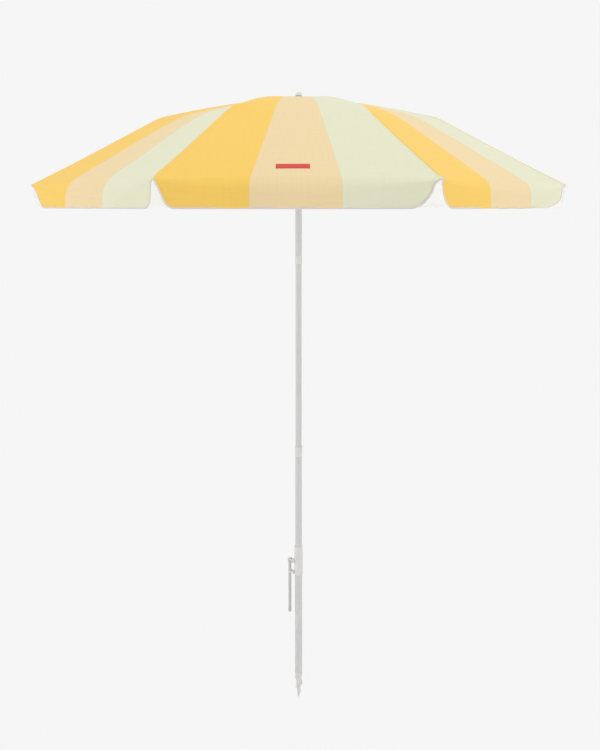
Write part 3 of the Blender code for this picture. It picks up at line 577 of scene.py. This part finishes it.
tipRadius, kinkRadius = canopy["tipRadius"], canopy["kinkRadius"]
halfPanel = pi / panelCount
innerTan = tan(radians(canopy["innerSlope"]))
outerTan = tan(radians(canopy["outerSlope"]))


def panelSetting(index, name):
    return ownPanel.get(index, {}).get(name, usualPanel[name])


def panelAzimuth(index):
    return -pi / 2 + index * 2 * halfPanel


def panelFrame(index):
    return Matrix.Rotation(panelAzimuth(index), 4, "Z")


def ribBow(radius):
    # how far a rib springs up between the crown and its kink
    share = (radius - pivotRadius) / (kinkRadius - pivotRadius)
    return canopy["bow"] * sin(pi * min(max(share, 0.0), 1.0))


def tipRise(radius):
    # how far a rib's last stretch springs up under the pull of the cloth
    share = (radius - canopy["tipRiseFrom"]) / (tipRadius - canopy["tipRiseFrom"])
    return canopy["tipRise"] * max(share, 0.0) ** 2


def clothHeight(radius, soft):
    # height of the cloth over a rib, with the rib's kink eased by soft
    kinkZ = crownZ - (kinkRadius - pivotRadius) * innerTan
    inner = crownZ - (radius - pivotRadius) * innerTan + canopy["lift"] * sqrt(1 + innerTan ** 2)
    outer = kinkZ - (radius - kinkRadius) * outerTan + canopy["lift"] * sqrt(1 + outerTan ** 2)
    half = (inner - outer) / 2
    return (inner + outer) / 2 - sqrt(half * half + soft * soft) + ribBow(radius)


def flapInset(cut, drop):
    # how far a valance flap's end is cut in from the rib, at a share of the flap's depth
    into = (drop - 1) * canopy["valance"] / cut["cornerTall"] + 1
    curve = 1 - sqrt(1 - min(into, 1.0) ** 2) if into > 0 else 0.0
    return cut["start"] + cut["spread"] * drop ** cut["power"] + cut["cornerWide"] * curve


def panelPoint(index, across, row):
    # one point of a panel in its own frame (x out from the pole, y to the panel's right, z up),
    # and its place across the panel from -1 to 1
    foldRows = canopy["foldRows"]
    middle = 1 - across * across
    corner = abs(across) ** canopy["cornerPower"]
    soft = canopy["kinkSoftRib"] + (canopy["kinkSoftMid"] - canopy["kinkSoftRib"]) * middle
    widest = panelSetting(index, "foldMid") - canopy["foldRib"]
    fold = canopy["foldRib"] + widest * (1 - abs(across) ** canopy["foldPower"])
    slope = atan(outerTan / cos(halfPanel))
    turn = pi / 2 - slope
    tangent = fold * tan(turn / 2)
    rim = canopy["rimRadius"]
    hemZ = clothHeight(rim, canopy["kinkSoftRib"]) - canopy["valance"]
    rim -= canopy["cornerPull"] * corner
    rimX = rim * cos(halfPanel)
    rimZ = clothHeight(rim, canopy["kinkSoftRib"]) + tipRise(rim) * corner
    foldX = rimX - tangent * cos(slope)
    if row <= roofRows:
        start = canopy["holeRadius"] * cos(halfPanel)
        share = row / roofRows
        x = start + (foldX - start) * share
        radius = x / cos(halfPanel)
        z = clothHeight(radius, soft)
        bow = sin(pi * min(radius / tipRadius, 1))
        # the cloth swells up between the ribs inside their kink, and follows each rib's raised tip
        into = (radius - canopy["hipStart"]) / (canopy["hipEnd"] - canopy["hipStart"])
        hip = sin(pi * min(max(into, 0.0), 1.0)) ** 2 * (1 - abs(across) ** canopy["hipPower"])
        z += panelSetting(index, "hip") * hip + tipRise(radius) * corner
        # slack ripples beside the ribs
        sideways, down = canopy["rippleWaves"]
        z += canopy["ripple"] * bow * sin(sideways * across + down * share + index) * across ** 2 * middle
    elif row <= roofRows + foldRows:
        angle = turn * (row - roofRows) / foldRows
        centreX = foldX - fold * sin(slope)
        centreZ = rimZ + tangent * sin(slope) - fold * cos(slope)
        x = centreX + fold * sin(slope + angle)
        z = centreZ + fold * cos(slope + angle)
    else:
        share = (row - roofRows - foldRows) / canopy["flapRows"]
        share = sin(share * pi / 2) ** canopy["flapEase"]
        top = rimZ - tangent
        z = top + (hemZ - top) * share
        x = rimX
    half = x / cos(halfPanel) * sin(halfPanel)
    y = across * half
    if row > roofRows:
        drop = min(max((rimZ - z) / (rimZ - hemZ), 0.0), 1.0)
        opened = min(1.0, drop / canopy["notchFrom"])
        left, right = (flapInset(panelSetting(index, end), drop) * opened for end in ("left", "right"))
        y = -half + left + (across + 1) / 2 * (2 * half - left - right)
        wave = sum(tall * sin(many * across + lag * index + offset)
            for tall, many, lag, offset in canopy["hemWaves"])
        x += canopy["valanceWave"] * drop * wave
    return Vector((x, y, z)), y / half


def panelGrid(index):
    # rows of points, with two more columns at the left that lap over the next panel's edge
    rows = roofRows + canopy["foldRows"] + canopy["flapRows"]
    columns, crowding = canopy["columns"], canopy["crowding"]
    lapWay = Vector((-sin(2 * halfPanel), -cos(2 * halfPanel), 0))
    grid = []
    for row in range(rows + 1):
        line = []
        for column in range(columns + 1):
            even = 2 * column / columns - 1
            across = -cos(pi * column / columns) * crowding + even * (1 - crowding)
            line.append(panelPoint(index, across, row))
        fade = 1.0 if row < roofRows else canopy["flapSeam"]
        lapWide = canopy["seamLap"] * fade
        if row < roofRows:
            lapWide += panelSetting(index, "seam") * (row / roofRows) ** canopy["seamPower"]
        rise = Vector((0, 0, canopy["seamRise"] * fade))
        first, side = line[0]
        line[0] = (first + rise, side)
        for share, height in canopy["lapSteps"]:
            line.insert(0, (first + lapWay * lapWide * share + rise * height, -1.0))
        grid.append(line)
    return grid


def makePanel(index):
    grid = panelGrid(index)
    turn = panelFrame(index)
    shift, stretch = panelSetting(index, "stripe")
    middle = len(grid[0]) // 2
    rows, run = [], 0.0
    for i, line in enumerate(grid):
        if i:
            run += (line[middle][0] - grid[i - 1][middle][0]).length
        half = max(abs(line[2][0].y), abs(line[-1][0].y))
        made = []
        for place, side in line:
            stripe = min(max((side * stretch + shift + 1) / 2, 0.001), 0.999)  # just inside the ramp
            made.append((turn @ place, (stripe, run), (place.y, run), (half - abs(place.y), run)))
        rows.append(made)
    name = f"canopyPanel{index + 1}"
    mesh = gridMesh(name, rows, ("stripe", "cloth", "edge"))
    mesh.shade_smooth()
    area = sum(p.area for p in mesh.polygons)
    piece = addPiece(name, mesh, "striped_cloth", f"cloth_{index + 1}", [f"panel_{index + 1}"])
    mesh.materials.append(canopyInsidePaintedGlow)
    thicken(piece, canopy["thickness"], 1)
    return piece, grid, area


tape = {
    "wide": 0.0040, "stand": 0.0008, "fold": 0.0005, "inset": 6, "startRow": 3, "shortest": 0.0015,
    "thickness": 0.0003, "sharp": 70,
}


def faceNormal(grid, row, column):
    # the cloth's own normal a few columns in from its edge
    column = min(max(column, tape["inset"]), len(grid[0]) - 1 - tape["inset"])
    lower, upper = min(row + 1, len(grid) - 1), row - 1
    sideways = grid[row][column + 1][0] - grid[row][column - 1][0]
    return sideways.cross(grid[lower][column][0] - grid[upper][column][0]).normalized()


def makeTape(index, grid):
    # folded tape round the free edge of the flap: down the left end, along the hem, up the right end
    first = roofRows + tape["startRow"]
    left = [(row, 2) for row in range(first, len(grid))]
    hem = [(len(grid) - 1, k) for k in range(3, len(grid[0]) - 1)]
    right = [(row, len(grid[0]) - 1) for row in range(len(grid) - 1, first - 1, -1)]
    stops, path = [], []
    for r, c in left + hem + right:
        if not path or (grid[r][c][0] - path[-1]).length > tape["shortest"]:
            stops.append((r, c))
            path.append(grid[r][c][0])
    turn = panelFrame(index)
    wide, stand = tape["wide"], tape["stand"]
    section = [(-wide, 0.6 * stand), (-0.5 * wide, stand), (-0.05 * wide, stand), (tape["fold"], 0),
        (-0.05 * wide, -stand), (-0.5 * wide, -stand), (-wide, -0.6 * stand)]
    heart = path[0].z + 0.05  # a height well inside the flap
    rings, run = [], 0.0
    count = len(path)
    for i, place in enumerate(path):
        if i:
            run += (place - path[i - 1]).length
        ahead = (path[min(i + 1, count - 1)] - path[max(i - 1, 0)]).normalized()
        outward = ahead.cross(faceNormal(grid, *stops[i])).normalized()
        if outward.dot(place - Vector((place.x, 0, heart))) < 0:
            outward = -outward
        normal = outward.cross(ahead).normalized()
        rings.append([(turn @ (place + outward * o + normal * n), (run, k * wide / 3))
            for k, (o, n) in enumerate(section)])
    name = f"hemTape{index + 1}"
    mesh = gridMesh(name, rings, ["cloth"])
    smoothShade(mesh, tape["sharp"])
    piece = addPiece(name, mesh, "striped_cloth", f"cloth_{index + 1}", finish=tapeCloth)
    # the inner faces take the lighter copy with painted light
    mesh.materials.append(tapeInsidePaintedLight)
    faces = len(section) - 1
    for i, face in enumerate(mesh.polygons):
        face.material_index = 0 if i % faces < faces / 2 else 1  # the first half of a ring lies outside
    thicken(piece, tape["thickness"])
    return piece


label = {
    "wide": 0.084, "deep": 0.023, "aside": -0.014, "out": 0.7730, "stand": 0.0009, "edgeStand": 0.45,
    "lift": (0.54, 0, 0.84), "panel": 0, "columns": 12, "rows": 4, "thickness": 0.0006,
}


def makeLabel():
    # plain red sewn label on the front panel
    index, columns, rows = label["panel"], label["columns"], label["rows"]
    turn = panelFrame(index)
    half = tipRadius * sin(halfPanel)
    inner, outer = (panelPoint(index, 0, row)[0].x for row in (0, roofRows))
    row0 = roofRows * (label["out"] - inner) / (outer - inner)
    perRow = (panelPoint(index, 0, row0 + 0.5)[0] - panelPoint(index, 0, row0 - 0.5)[0]).length
    lines = []
    for i in range(rows + 1):
        row = row0 + label["deep"] / perRow * (i / rows - 0.5)
        width = half * panelPoint(index, 0, row)[0].x / (tipRadius * cos(halfPanel))
        line = []
        for k in range(columns + 1):
            lateral = label["aside"] + label["wide"] * (k / columns - 0.5)
            place = panelPoint(index, lateral / width, row)[0]
            inside = min(i, rows - i, k, columns - k)
            place += Vector(label["lift"]) * label["stand"] * (1.0 if inside else label["edgeStand"])
            line.append((turn @ place, (label["wide"] * k / columns, label["deep"] * i / rows)))
        lines.append(line)
    mesh = gridMesh("sewnLabel", lines, ["cloth"])
    mesh.shade_smooth()
    piece = addPiece("sewnLabel", mesh, "striped_cloth", f"cloth_{index + 1}", finish=labelCloth)
    thicken(piece, label["thickness"])
    return piece


def foldWithFrame(piece):
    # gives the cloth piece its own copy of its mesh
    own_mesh(piece)


def makeCanopy():
    sewn = makeLabel()
    for index in range(panelCount):
        piece, grid, area = makePanel(index)
        hem = makeTape(index, grid)
        extras = [hem, sewn] if index == label["panel"] else [hem]
        for soft in [piece, *extras]:
            foldWithFrame(soft)


# Frame under the canopy
ribWire = {
    "radius": 0.0020, "rodStart": 0.008, "bend": 0.016, "sides": 12, "capSeat": 0.006,
    "eyeRadius": 0.0028, "eyeHole": 0.0013, "eyeThick": 0.0030, "eyeNeck": 0.004, "eyeSides": 14,
    "bendSteps": 6, "straightSteps": 10,
}


def ribAzimuth(index):
    return panelAzimuth(index) - halfPanel


def eyePlate():
    # flattened end of a rib's wire, pierced for its pivot, lying along +X
    radius, hole, thick = ribWire["eyeRadius"], ribWire["eyeHole"], ribWire["eyeThick"]
    length = ribWire["rodStart"] + ribWire["eyeNeck"]
    outline = [(length, -radius * 0.6), (length, radius * 0.6)]
    steps = ribWire["eyeSides"]
    outline += [polar(radius, radians(60 + 240 * i / steps)) for i in range(steps + 1)]
    drill = plugMesh("eyeDrill", hole, thick, -thick, steps)
    drill.transform(Matrix.Rotation(pi / 2, 4, "X"))
    return joinShapes("eyePlate", plateMesh("eyePlate", outline, thick / 2), [("DIFFERENCE", drill)])


def makeRibs():
    bends, steps = ribWire["bendSteps"], ribWire["straightSteps"]
    inner, outer = radians(canopy["innerSlope"]), radians(canopy["outerSlope"])
    inward = Vector((cos(inner), 0, -sin(inner)))
    outward = Vector((cos(outer), 0, -sin(outer)))
    kink = inward * ((kinkRadius - pivotRadius) / cos(inner))
    run = (tipRadius - kinkRadius) / cos(outer) - ribWire["capSeat"]
    bend = [kink - inward * ribWire["bend"] * (1 - t) ** 2 + outward * ribWire["bend"] * t ** 2
        for t in (i / bends for i in range(bends + 1))]
    start = inward * ribWire["rodStart"]
    line = [start.lerp(bend[0], i / steps) for i in range(steps)]
    line += bend + [bend[-1].lerp(kink + outward * run, i / steps) for i in range(1, steps + 1)]
    line = [p + Vector((0, 0, ribBow(p.x + pivotRadius) + tipRise(p.x + pivotRadius))) for p in line]
    ring = [polar(ribWire["radius"], 2 * pi * i / ribWire["sides"]) for i in range(ribWire["sides"])]
    for i in range(panelCount):
        at = ribAzimuth(i)
        place = Matrix.Translation((*polar(pivotRadius, at), crownZ))
        turn = place @ Matrix.Rotation(at, 4, "Z")
        bar = sweptMesh("ribBar", [turn @ p for p in line], lambda share: ring)
        eye = eyePlate()
        eye.transform(turn @ Matrix.Rotation(inner, 4, "Y"))
        mesh = joinShapes("ribShape", bar, [("UNION", eye)])
        addPiece(f"bentRib{i + 1}", mesh, "bare_steel", f"rib_arm_{i + 1}", [f"rib_{i + 1}"])


def addTurned(name, outline, sides, slotName, body, node, closed=False, place=None, flutes=None):
    # a turned piece that stands for one CAD node
    mesh = latheMesh(name, outline, sides, closed, flutes)
    if place is not None:
        mesh.transform(place)
    addPiece(name, mesh, slotName, body, [node])


tipCap = {"radius": 0.0030, "length": 0.022, "bore": 0.0023, "nose": 0.005, "soft": 0.0016, "sides": 16}


def makeTipCaps():
    outer = radians(canopy["outerSlope"])
    radius, bore = tipCap["radius"], tipCap["bore"]
    cup = filletOutline([(0, 0), (radius, 0), (radius, -tipCap["length"]), (bore, -tipCap["length"]),
        (bore, -tipCap["nose"]), (0, -tipCap["nose"])], tipCap["soft"])
    drop = (kinkRadius - pivotRadius) * innerTan + (tipRadius - kinkRadius) * outerTan
    lean = 2 * canopy["tipRise"] / (tipRadius - canopy["tipRiseFrom"]) * cos(outer) ** 2
    lay = Matrix.Rotation(pi / 2 + outer - lean, 4, "Y")
    for i in range(panelCount):
        at = ribAzimuth(i)
        tip = Vector((*polar(tipRadius, at), crownZ - drop + canopy["tipRise"]))
        place = Matrix.Translation(tip) @ Matrix.Rotation(at, 4, "Z") @ lay
        addTurned(f"ribTip{i + 1}", cup, tipCap["sides"], "white_plastic", f"rib_arm_{i + 1}",
            f"rib_tip_cap_{i + 1}", place=place)
    print("ribs bent and capped:", panelCount)


# Pole: each tube takes its size from its own node
tube = {
    "wall": 0.0007, "lip": 0.0003, "sides": 48,
    "slotAside": 0.0003, "slotAbove": 0.0008, "slotFrom": 0.002, "slotTo": 0.03, "slotSoft": 0.0004,
}
fitGap = 0.0003  # between a tube and what is fitted over it


def halfWidth(node):
    low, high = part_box(node)
    return (high.x - low.x) / 2


def makeTube(name, node, body, cuts=()):
    low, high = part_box(node)
    radius = halfWidth(node)
    inner, middle = radius - tube["wall"], (low.z + high.z) / 2
    outline = filletOutline([(inner, middle), (inner, high.z), (radius, high.z), (radius, low.z),
        (inner, low.z), (inner, middle)], tube["lip"], 3)[:-1]
    mesh = latheMesh(name, outline, tube["sides"], True)
    if cuts:
        mesh = joinShapes(name, mesh, cuts)
    addPiece(name, mesh, "white_enamel", body, [node])


def makePoles():
    low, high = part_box("runner_catch")
    aside, above = tube["slotAside"], tube["slotAbove"]
    slot = roundedBox("catchSlot", (tube["slotFrom"], low.y - aside, low.z - above),
        (tube["slotTo"], high.y + aside, high.z + above), tube["slotSoft"])
    makeTube("upperPole", "upper_pole", "mast", [("DIFFERENCE", slot)])
    makeTube("linkPole", "link_pole", "mast")
    makeTube("middlePole", "middle_pole", "middle")
    makeTube("bottomPole", "bottom_pole", "ground_pole")
    print("pole tubes drawn")


ferrule = {"step": 0.0028, "groove": 0.0004, "grooveHalf": 0.001, "soft": 0.00045, "sides": 48}
collar = {
    "lip": 0.0055, "chamfer": 0.004, "skirt": 0.002, "soft": 0.0009, "sides": 80,
    "flutes": 20, "fluteDepth": 0.00022, "fluteLow": 0.001, "fluteHigh": 0.0035,
}


def makeCollars():
    low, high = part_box("upper_ferrule")
    radius = halfWidth("upper_ferrule")
    bore, neck = halfWidth("upper_pole") + fitGap, halfWidth("link_pole") + fitGap
    third, half = (high.z - low.z) / 3, ferrule["grooveHalf"]
    step = low.z + ferrule["step"]
    outline = [(bore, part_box("upper_pole")[0].z + fitGap), (bore, high.z), (radius, high.z)]
    for ring in (high.z - third, low.z + third):
        outline += [(radius, ring + half), (radius - ferrule["groove"], ring), (radius, ring - half)]
    outline += [(radius, low.z), (neck, low.z), (neck, step), (bore, step)]
    addTurned("upperFerrule", filletOutline(outline, ferrule["soft"], 3), ferrule["sides"], "white_plastic",
        "mast", "upper_ferrule", True)

    low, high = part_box("lock_collar")
    radius = halfWidth("lock_collar")
    bore, top = halfWidth("middle_pole") + fitGap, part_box("middle_pole")[1].z
    rim, roof = (radius + bore) / 2, high.z - collar["lip"]
    outline = [(bore, top), (bore, roof), (neck, roof), (neck, high.z), (rim, high.z),
        (radius, high.z - collar["chamfer"]), (radius, top), (rim, low.z), (bore, low.z),
        (bore, top - collar["skirt"])]
    flutes = (collar["flutes"], collar["fluteDepth"], top - collar["fluteLow"], high.z - collar["fluteHigh"])
    addTurned("lockCollar", filletOutline(outline, collar["soft"], 4), collar["sides"], "white_plastic",
        "collar", "lock_collar", True, flutes=flutes)


cap = {
    "gate": 0.0012, "gateDeep": 0.0002, "brim": 0.0015, "skirt": 0.0014, "soft": 0.0006, "round": 0.85,
    "bore": 0.0043, "boreDeep": 0.0075, "sides": 40,
}
washer = {"bore": 0.0043, "thick": 0.0012, "soft": 0.0005, "sides": 40}


def makeTopCap():
    low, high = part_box("top_cap")
    radius = halfWidth("top_cap") + cap["brim"]
    skirt, gate = cap["skirt"], high.z - cap["gateDeep"]
    tall = high.z - low.z - skirt
    dome = [(radius * cos(a), low.z + skirt + tall * sin(a) ** cap["round"])
        for a in (radians(88 - 8 * i) for i in range(12))]
    bore, floor = cap["bore"], low.z + cap["boreDeep"]
    outline = [(0, gate), (cap["gate"], gate), *dome, (radius, low.z + cap["soft"]),
        (radius - cap["soft"], low.z), (bore, low.z), (bore, floor), (0, floor)]
    addTurned("topCap", outline, cap["sides"], "white_plastic", "mast", "top_cap")

    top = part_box("canopy_washer")[1].z
    radius = halfWidth("canopy_washer")
    bore, thick = washer["bore"], washer["thick"]
    edge = top - (radius - bore) * innerTan
    outline = filletOutline([(bore, top - thick / 2), (bore, top), (radius, edge), (radius, edge - thick),
        (bore, top - thick), (bore, top - thick / 2)], washer["soft"], 3)[:-1]
    addTurned("canopyWasher", outline, washer["sides"], "white_plastic", "mast", "canopy_washer", True)
    print("collars and cap turned")


screw = {
    "tipRadius": 0.0032, "neckRadius": 0.0132, "point": 0.006, "taper": 0.85, "spigot": 0.0122, "sides": 40,
    "pitch": 0.0345, "turns": 2.15, "flightTop": 0.0885, "steps": 130,
    "fin": 0.0042, "finSunk": 0.001, "root": 0.0023, "edge": 0.0006,
    "growTop": 9, "growPoint": 6, "growPower": 0.6, "noseWide": 0.6, "noseTall": 0.4,
}


def screwCore(height, top):
    share = max((height - screw["point"]) / (top - screw["point"]), 0)
    grow = screw["neckRadius"] - screw["tipRadius"]
    return screw["tipRadius"] + grow * share ** screw["taper"]


def finSection(share):
    # the flight grows from nothing at both ends
    grown = min(1, screw["growTop"] * share, screw["growPoint"] * (1 - share))
    tall = screw["finSunk"] + screw["fin"] * grown ** screw["growPower"]
    root, edge = screw["root"], screw["edge"]
    return [(0, -root), (-tall, -edge), (-tall - edge * 0.5, 0), (-tall, edge), (0, root)]


def makeSandScrew():
    # tapered moulded plug with one sharp flight that winds down to the point
    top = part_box("bottom_pole")[0].z
    low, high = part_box("sand_screw")
    spigot, shoulder, point = screw["spigot"], top - fitGap, screw["point"]
    core = [(screwCore(h, top), h) for h in (shoulder + (point - shoulder) * i / 16 for i in range(17))]
    outline = [(0, high.z), (spigot, high.z), (spigot, shoulder), *core,
        (screw["tipRadius"] * screw["noseWide"], point * screw["noseTall"]), (0, low.z)]
    base = latheMesh("screwCore", outline, screw["sides"])
    points = []
    for i in range(screw["steps"] + 1):
        turned = screw["turns"] * i / screw["steps"]
        height = screw["flightTop"] - screw["pitch"] * turned
        at = -2 * pi * turned
        reach = screwCore(height, top) - screw["finSunk"]
        points.append(Vector((*polar(reach, at), height)))
    flight = sweptMesh("screwFlight", points, finSection)
    addPiece("sandScrew", joinShapes("sandScrew", base, [("UNION", flight)]), "white_plastic", "ground_pole",
        ["sand_screw"])
    print("sand screw wound")


bracket = {
    "roof": 0.0045, "domeTall": 0.015, "domeLip": 0.0009, "groove": 0.0005, "grooveHalf": 0.001,
    "grooveUp": 0.051, "foot": 0.003, "footIn": 0.0012, "boreSeam": 0.02, "seamGap": 0.001, "soft": 0.0006,
    "sides": 56,
    "lugRadius": 0.0076, "lugArm": 0.0040, "armDrop": 0.0010, "root": -0.0139, "bevel": 0.0008,
    "slot": 0.0056, "slotTall": 0.013, "slotTo": 0.00755, "earWall": 0.0028, "pinHole": 0.0023,
    "hold": 0.038, "grip": 0.00555, "gripTall": 0.012, "cheekWall": 0.0020, "cutBack": 0.03,
    "cutSoft": 0.0004, "cutPast": 0.01, "drillHalf": 0.03, "drillSides": 20,
    "cradleTall": 0.0036, "cradleDrop": 0.0055, "cradleFront": 0.002, "cradleBack": 0.003,
}
pivot = jointPlace["handle_swing"]
pivotTurn = Matrix.Translation(pivot) @ Matrix.Rotation(pi / 2, 4, "X")


def makeBracket():
    shape = bracket
    low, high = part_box("handle_bracket")
    radius = (high.y - low.y) / 2
    bore, neck = halfWidth("bottom_pole") + fitGap, halfWidth("middle_pole") + fitGap
    roof, ring, half = high.z - shape["roof"], low.z + shape["grooveUp"], shape["grooveHalf"]
    pull, tall = radius - neck - shape["domeLip"], shape["domeTall"]
    dome = [(radius - pull * (1 - cos(a)), high.z - tall * (1 - sin(a)))
        for a in (radians(90 - 10 * i) for i in range(10))]
    outline = filletOutline([
        (bore, roof - shape["boreSeam"]), (bore, roof), (neck, roof), (neck, high.z), *dome,
        (radius, ring + half), (radius - shape["groove"], ring), (radius, ring - half),
        (radius, low.z + shape["foot"]), (radius - shape["footIn"], low.z), (bore, low.z),
        (bore, roof - shape["boreSeam"] - shape["seamGap"])], shape["soft"], 3)
    housing = latheMesh("housing", outline, shape["sides"], True)

    hold = pivot.z - shape["hold"]
    lug, arm, axis = shape["lugRadius"], shape["lugArm"], pivot.z - shape["armDrop"]
    ears = [(shape["root"], axis + arm), (shape["root"], axis - arm)]
    ears += [(pivot.x + lug * cos(a), pivot.z + lug * sin(a))
        for a in (radians(-70 - 220 * i / 16) for i in range(17))]
    tall, fall = shape["cradleTall"], shape["cradleDrop"]
    front, back = pivot.x + shape["cradleFront"], pivot.x - shape["cradleBack"]
    cradle = [(shape["root"], hold + tall - fall), (shape["root"], hold - tall - fall), (front, hold - tall),
        (back, hold - tall), (back, hold + tall), (front, hold + tall)]
    slot, grip, cut = shape["slot"], shape["grip"], pivot.x - shape["cutBack"]
    drill = plugMesh("earDrill", shape["pinHole"], shape["drillHalf"], -shape["drillHalf"],
        shape["drillSides"])
    drill.transform(pivotTurn)
    slotLow, slotHigh = pivot.z - shape["slotTall"], pivot.z + shape["slotTall"]
    gripLow, gripHigh = hold - shape["gripTall"], hold + shape["gripTall"]
    soft, slotTo, gripTo = shape["cutSoft"], pivot.x + shape["slotTo"], pivot.x + grip
    tools = [
        ("UNION", plateMesh("ears", ears, slot + shape["earWall"], shape["bevel"])),
        ("UNION", plateMesh("cradle", cradle, grip + shape["cheekWall"], shape["bevel"])),
        ("DIFFERENCE", roundedBox("earSlot", (cut, -slot, slotLow), (slotTo, slot, slotHigh), soft)),
        ("DIFFERENCE", roundedBox("cradleSlot", (cut, -grip, gripLow), (gripTo, grip, gripHigh), soft)),
        ("DIFFERENCE", plugMesh("boreCut", bore, roof, low.z - shape["cutPast"], shape["sides"])),
        ("DIFFERENCE", drill),
    ]
    addPiece("handleBracket", joinShapes("handleBracket", housing, tools), "white_plastic", "ground_pole",
        ["handle_bracket"])


handle = {
    "pinHole": 0.0023, "knuckleRadius": 0.00725, "knuckleHalf": 0.0053, "knuckleSoft": 0.0012,
    "knuckleSides": 40, "seamGap": 0.0001, "sides": 32, "tipShare": 0.86, "tipSoft": 0.001,
    "gripRings": 3, "gripFrom": 0.046, "gripPitch": 0.006, "gripHalf": 0.0012, "gripDeep": 0.0005,
    "capGap": 0.0002, "capWall": 0.0003, "capTall": 0.0090, "capSoft": 0.0011,
}


def makeHandle():
    shape = handle
    hole, wide, half = shape["pinHole"], shape["knuckleRadius"], shape["knuckleHalf"]
    knuckle = filletOutline([(hole, 0), (hole, half), (wide, half), (wide, -half), (hole, -half),
        (hole, -shape["seamGap"])], shape["knuckleSoft"], 4)
    addTurned("handleKnuckle", knuckle, shape["knuckleSides"], "grey_plastic", "handle", "handle_knuckle",
        True, pivotTurn)

    low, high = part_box("handle_rod")
    radius = halfWidth("handle_rod")
    aside = Matrix.Translation((pivot.x, 0, 0))
    rod = [(0, high.z), (radius * shape["tipShare"], high.z), (radius, high.z - shape["tipSoft"])]
    for i in range(shape["gripRings"]):
        ring = high.z - shape["gripFrom"] - shape["gripPitch"] * i
        rod += [(radius, ring), (radius - shape["gripDeep"], ring - shape["gripHalf"]),
            (radius, ring - 2 * shape["gripHalf"])]
    rod += [(radius, low.z), (0, low.z)]
    addTurned("handleRod", rod, shape["sides"], "grey_plastic", "handle", "handle_rod", place=aside)

    inner, top = radius + shape["capGap"], low.z + shape["capTall"]
    wide, seat, foot = inner + shape["capWall"], low.z - fitGap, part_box("handle_end_cap")[0].z
    cup = filletOutline([(0, seat), (inner, seat), (inner, top), (wide, top), (wide, foot), (0, foot)],
        shape["capSoft"], 4)
    addTurned("handleEndCap", cup, shape["sides"], "grey_plastic", "handle", "handle_end_cap", place=aside)
    print("handle and bracket moulded")


# Stage: pale floor that melts into the background, soft light from all round
stage = {
    "background": "#f6f6f6", "skyStrength": 0.72, "floor": "#f8f8f8", "floorRough": 0.9, "floorSize": 60.0,
    "shadowRadius": 0.55, "shadowShare": 0.08,
}
lamps = {
    "overhead": {"place": (0.4, -1.4, 4.6), "aim": (0, 0, 1.9), "size": 3.2, "power": 32},
    "leftFill": {"place": (-4.0, -1.2, 1.5), "aim": (0, 0, 1.6), "size": 2.6, "power": 36},
    "rightFill": {"place": (4.0, -1.2, 1.7), "aim": (0, 0, 1.6), "size": 2.6, "power": 30},
    "lowFill": {"place": (0, -3.4, 0.5), "aim": (0, 0.4, 1.9), "size": 1.8, "power": 3},
    "backFill": {"place": (0, 4.0, 2.6), "aim": (0, 0, 1.9), "size": 3.0, "power": 26},
}


def seenDirectly(tree):
    # one where a ray sees the backdrop itself or its mirror image, nought where it only gathers light
    rays = addNode(tree, "LightPath")
    seen = rays.outputs["Is Camera Ray"]
    for kind in ("Is Glossy Ray", "Is Transmission Ray"):
        seen = addNode(tree, "Math", {0: seen, 1: rays.outputs[kind]}, operation="MAXIMUM")
    return seen


def makeWorld():
    world = bpy.context.scene.world or bpy.data.worlds.new("studio")
    bpy.context.scene.world = world
    world.use_nodes = True
    tree = world.node_tree
    tree.nodes.clear()
    light = addNode(tree, "Background", {"Color": (1, 1, 1, 1), "Strength": stage["skyStrength"]})
    back = addNode(tree, "Background", {"Color": hexColour(stage["background"]), "Strength": 1.0})
    mixed = addNode(tree, "MixShader", {0: seenDirectly(tree), 1: light, 2: back})
    addNode(tree, "OutputWorld", {"Surface": mixed})


def makeFloor():
    # matt painted floor: a soft shadow shows near the foot, and fades out into the background
    bpy.ops.mesh.primitive_plane_add(size=stage["floorSize"])
    floor = bpy.context.object
    floor.name = "studioFloor"
    made, tree = newMaterial("paintedFloor")
    paint = tree.nodes["Principled BSDF"]
    setInputs(tree, paint, {"Base Color": hexColour(stage["floor"]), "Roughness": stage["floorRough"]})
    place = addNode(tree, "NewGeometry").outputs["Position"]
    far = addNode(tree, "VectorMath", {0: place}, operation="LENGTH")
    near = addNode(tree, "MapRange", {"Value": far.outputs["Value"], "From Min": 0.0,
        "From Max": stage["shadowRadius"], "To Min": stage["shadowShare"], "To Max": 0.0},
        interpolation_type="SMOOTHSTEP")
    clear = addNode(tree, "Math", {0: 1.0, 1: near}, operation="SUBTRACT")
    share = addNode(tree, "Math", {0: seenDirectly(tree), 1: clear}, operation="MULTIPLY")
    glow = addNode(tree, "Emission", {"Color": hexColour(stage["background"]), "Strength": 1.0})
    mixed = addNode(tree, "MixShader", {0: share, 1: paint, 2: glow})
    setInputs(tree, tree.nodes["Material Output"], {"Surface": mixed})
    floor.data.materials.append(made)


def makeLamps():
    for name, lamp in lamps.items():
        data = bpy.data.lights.new(name, "AREA")
        data.size = lamp["size"]
        data.energy = lamp["power"]
        made = addObject(name, data)
        made.location = lamp["place"]
        made.rotation_euler = (Vector(lamp["aim"]) - Vector(lamp["place"])).to_track_quat("-Z",
            "Y").to_euler()
        made.visible_camera = False
    bpy.context.scene.view_settings.view_transform = "Standard"
    print("stage lit:", len(lamps), "lamps")


makeCamera()
paintFrameNodes()
makeCanopy()
makeRibs()
makeTipCaps()
makePoles()
makeCollars()
makeTopCap()
makeSandScrew()
makeBracket()
makeHandle()
makeWorld()
makeFloor()
makeLamps()
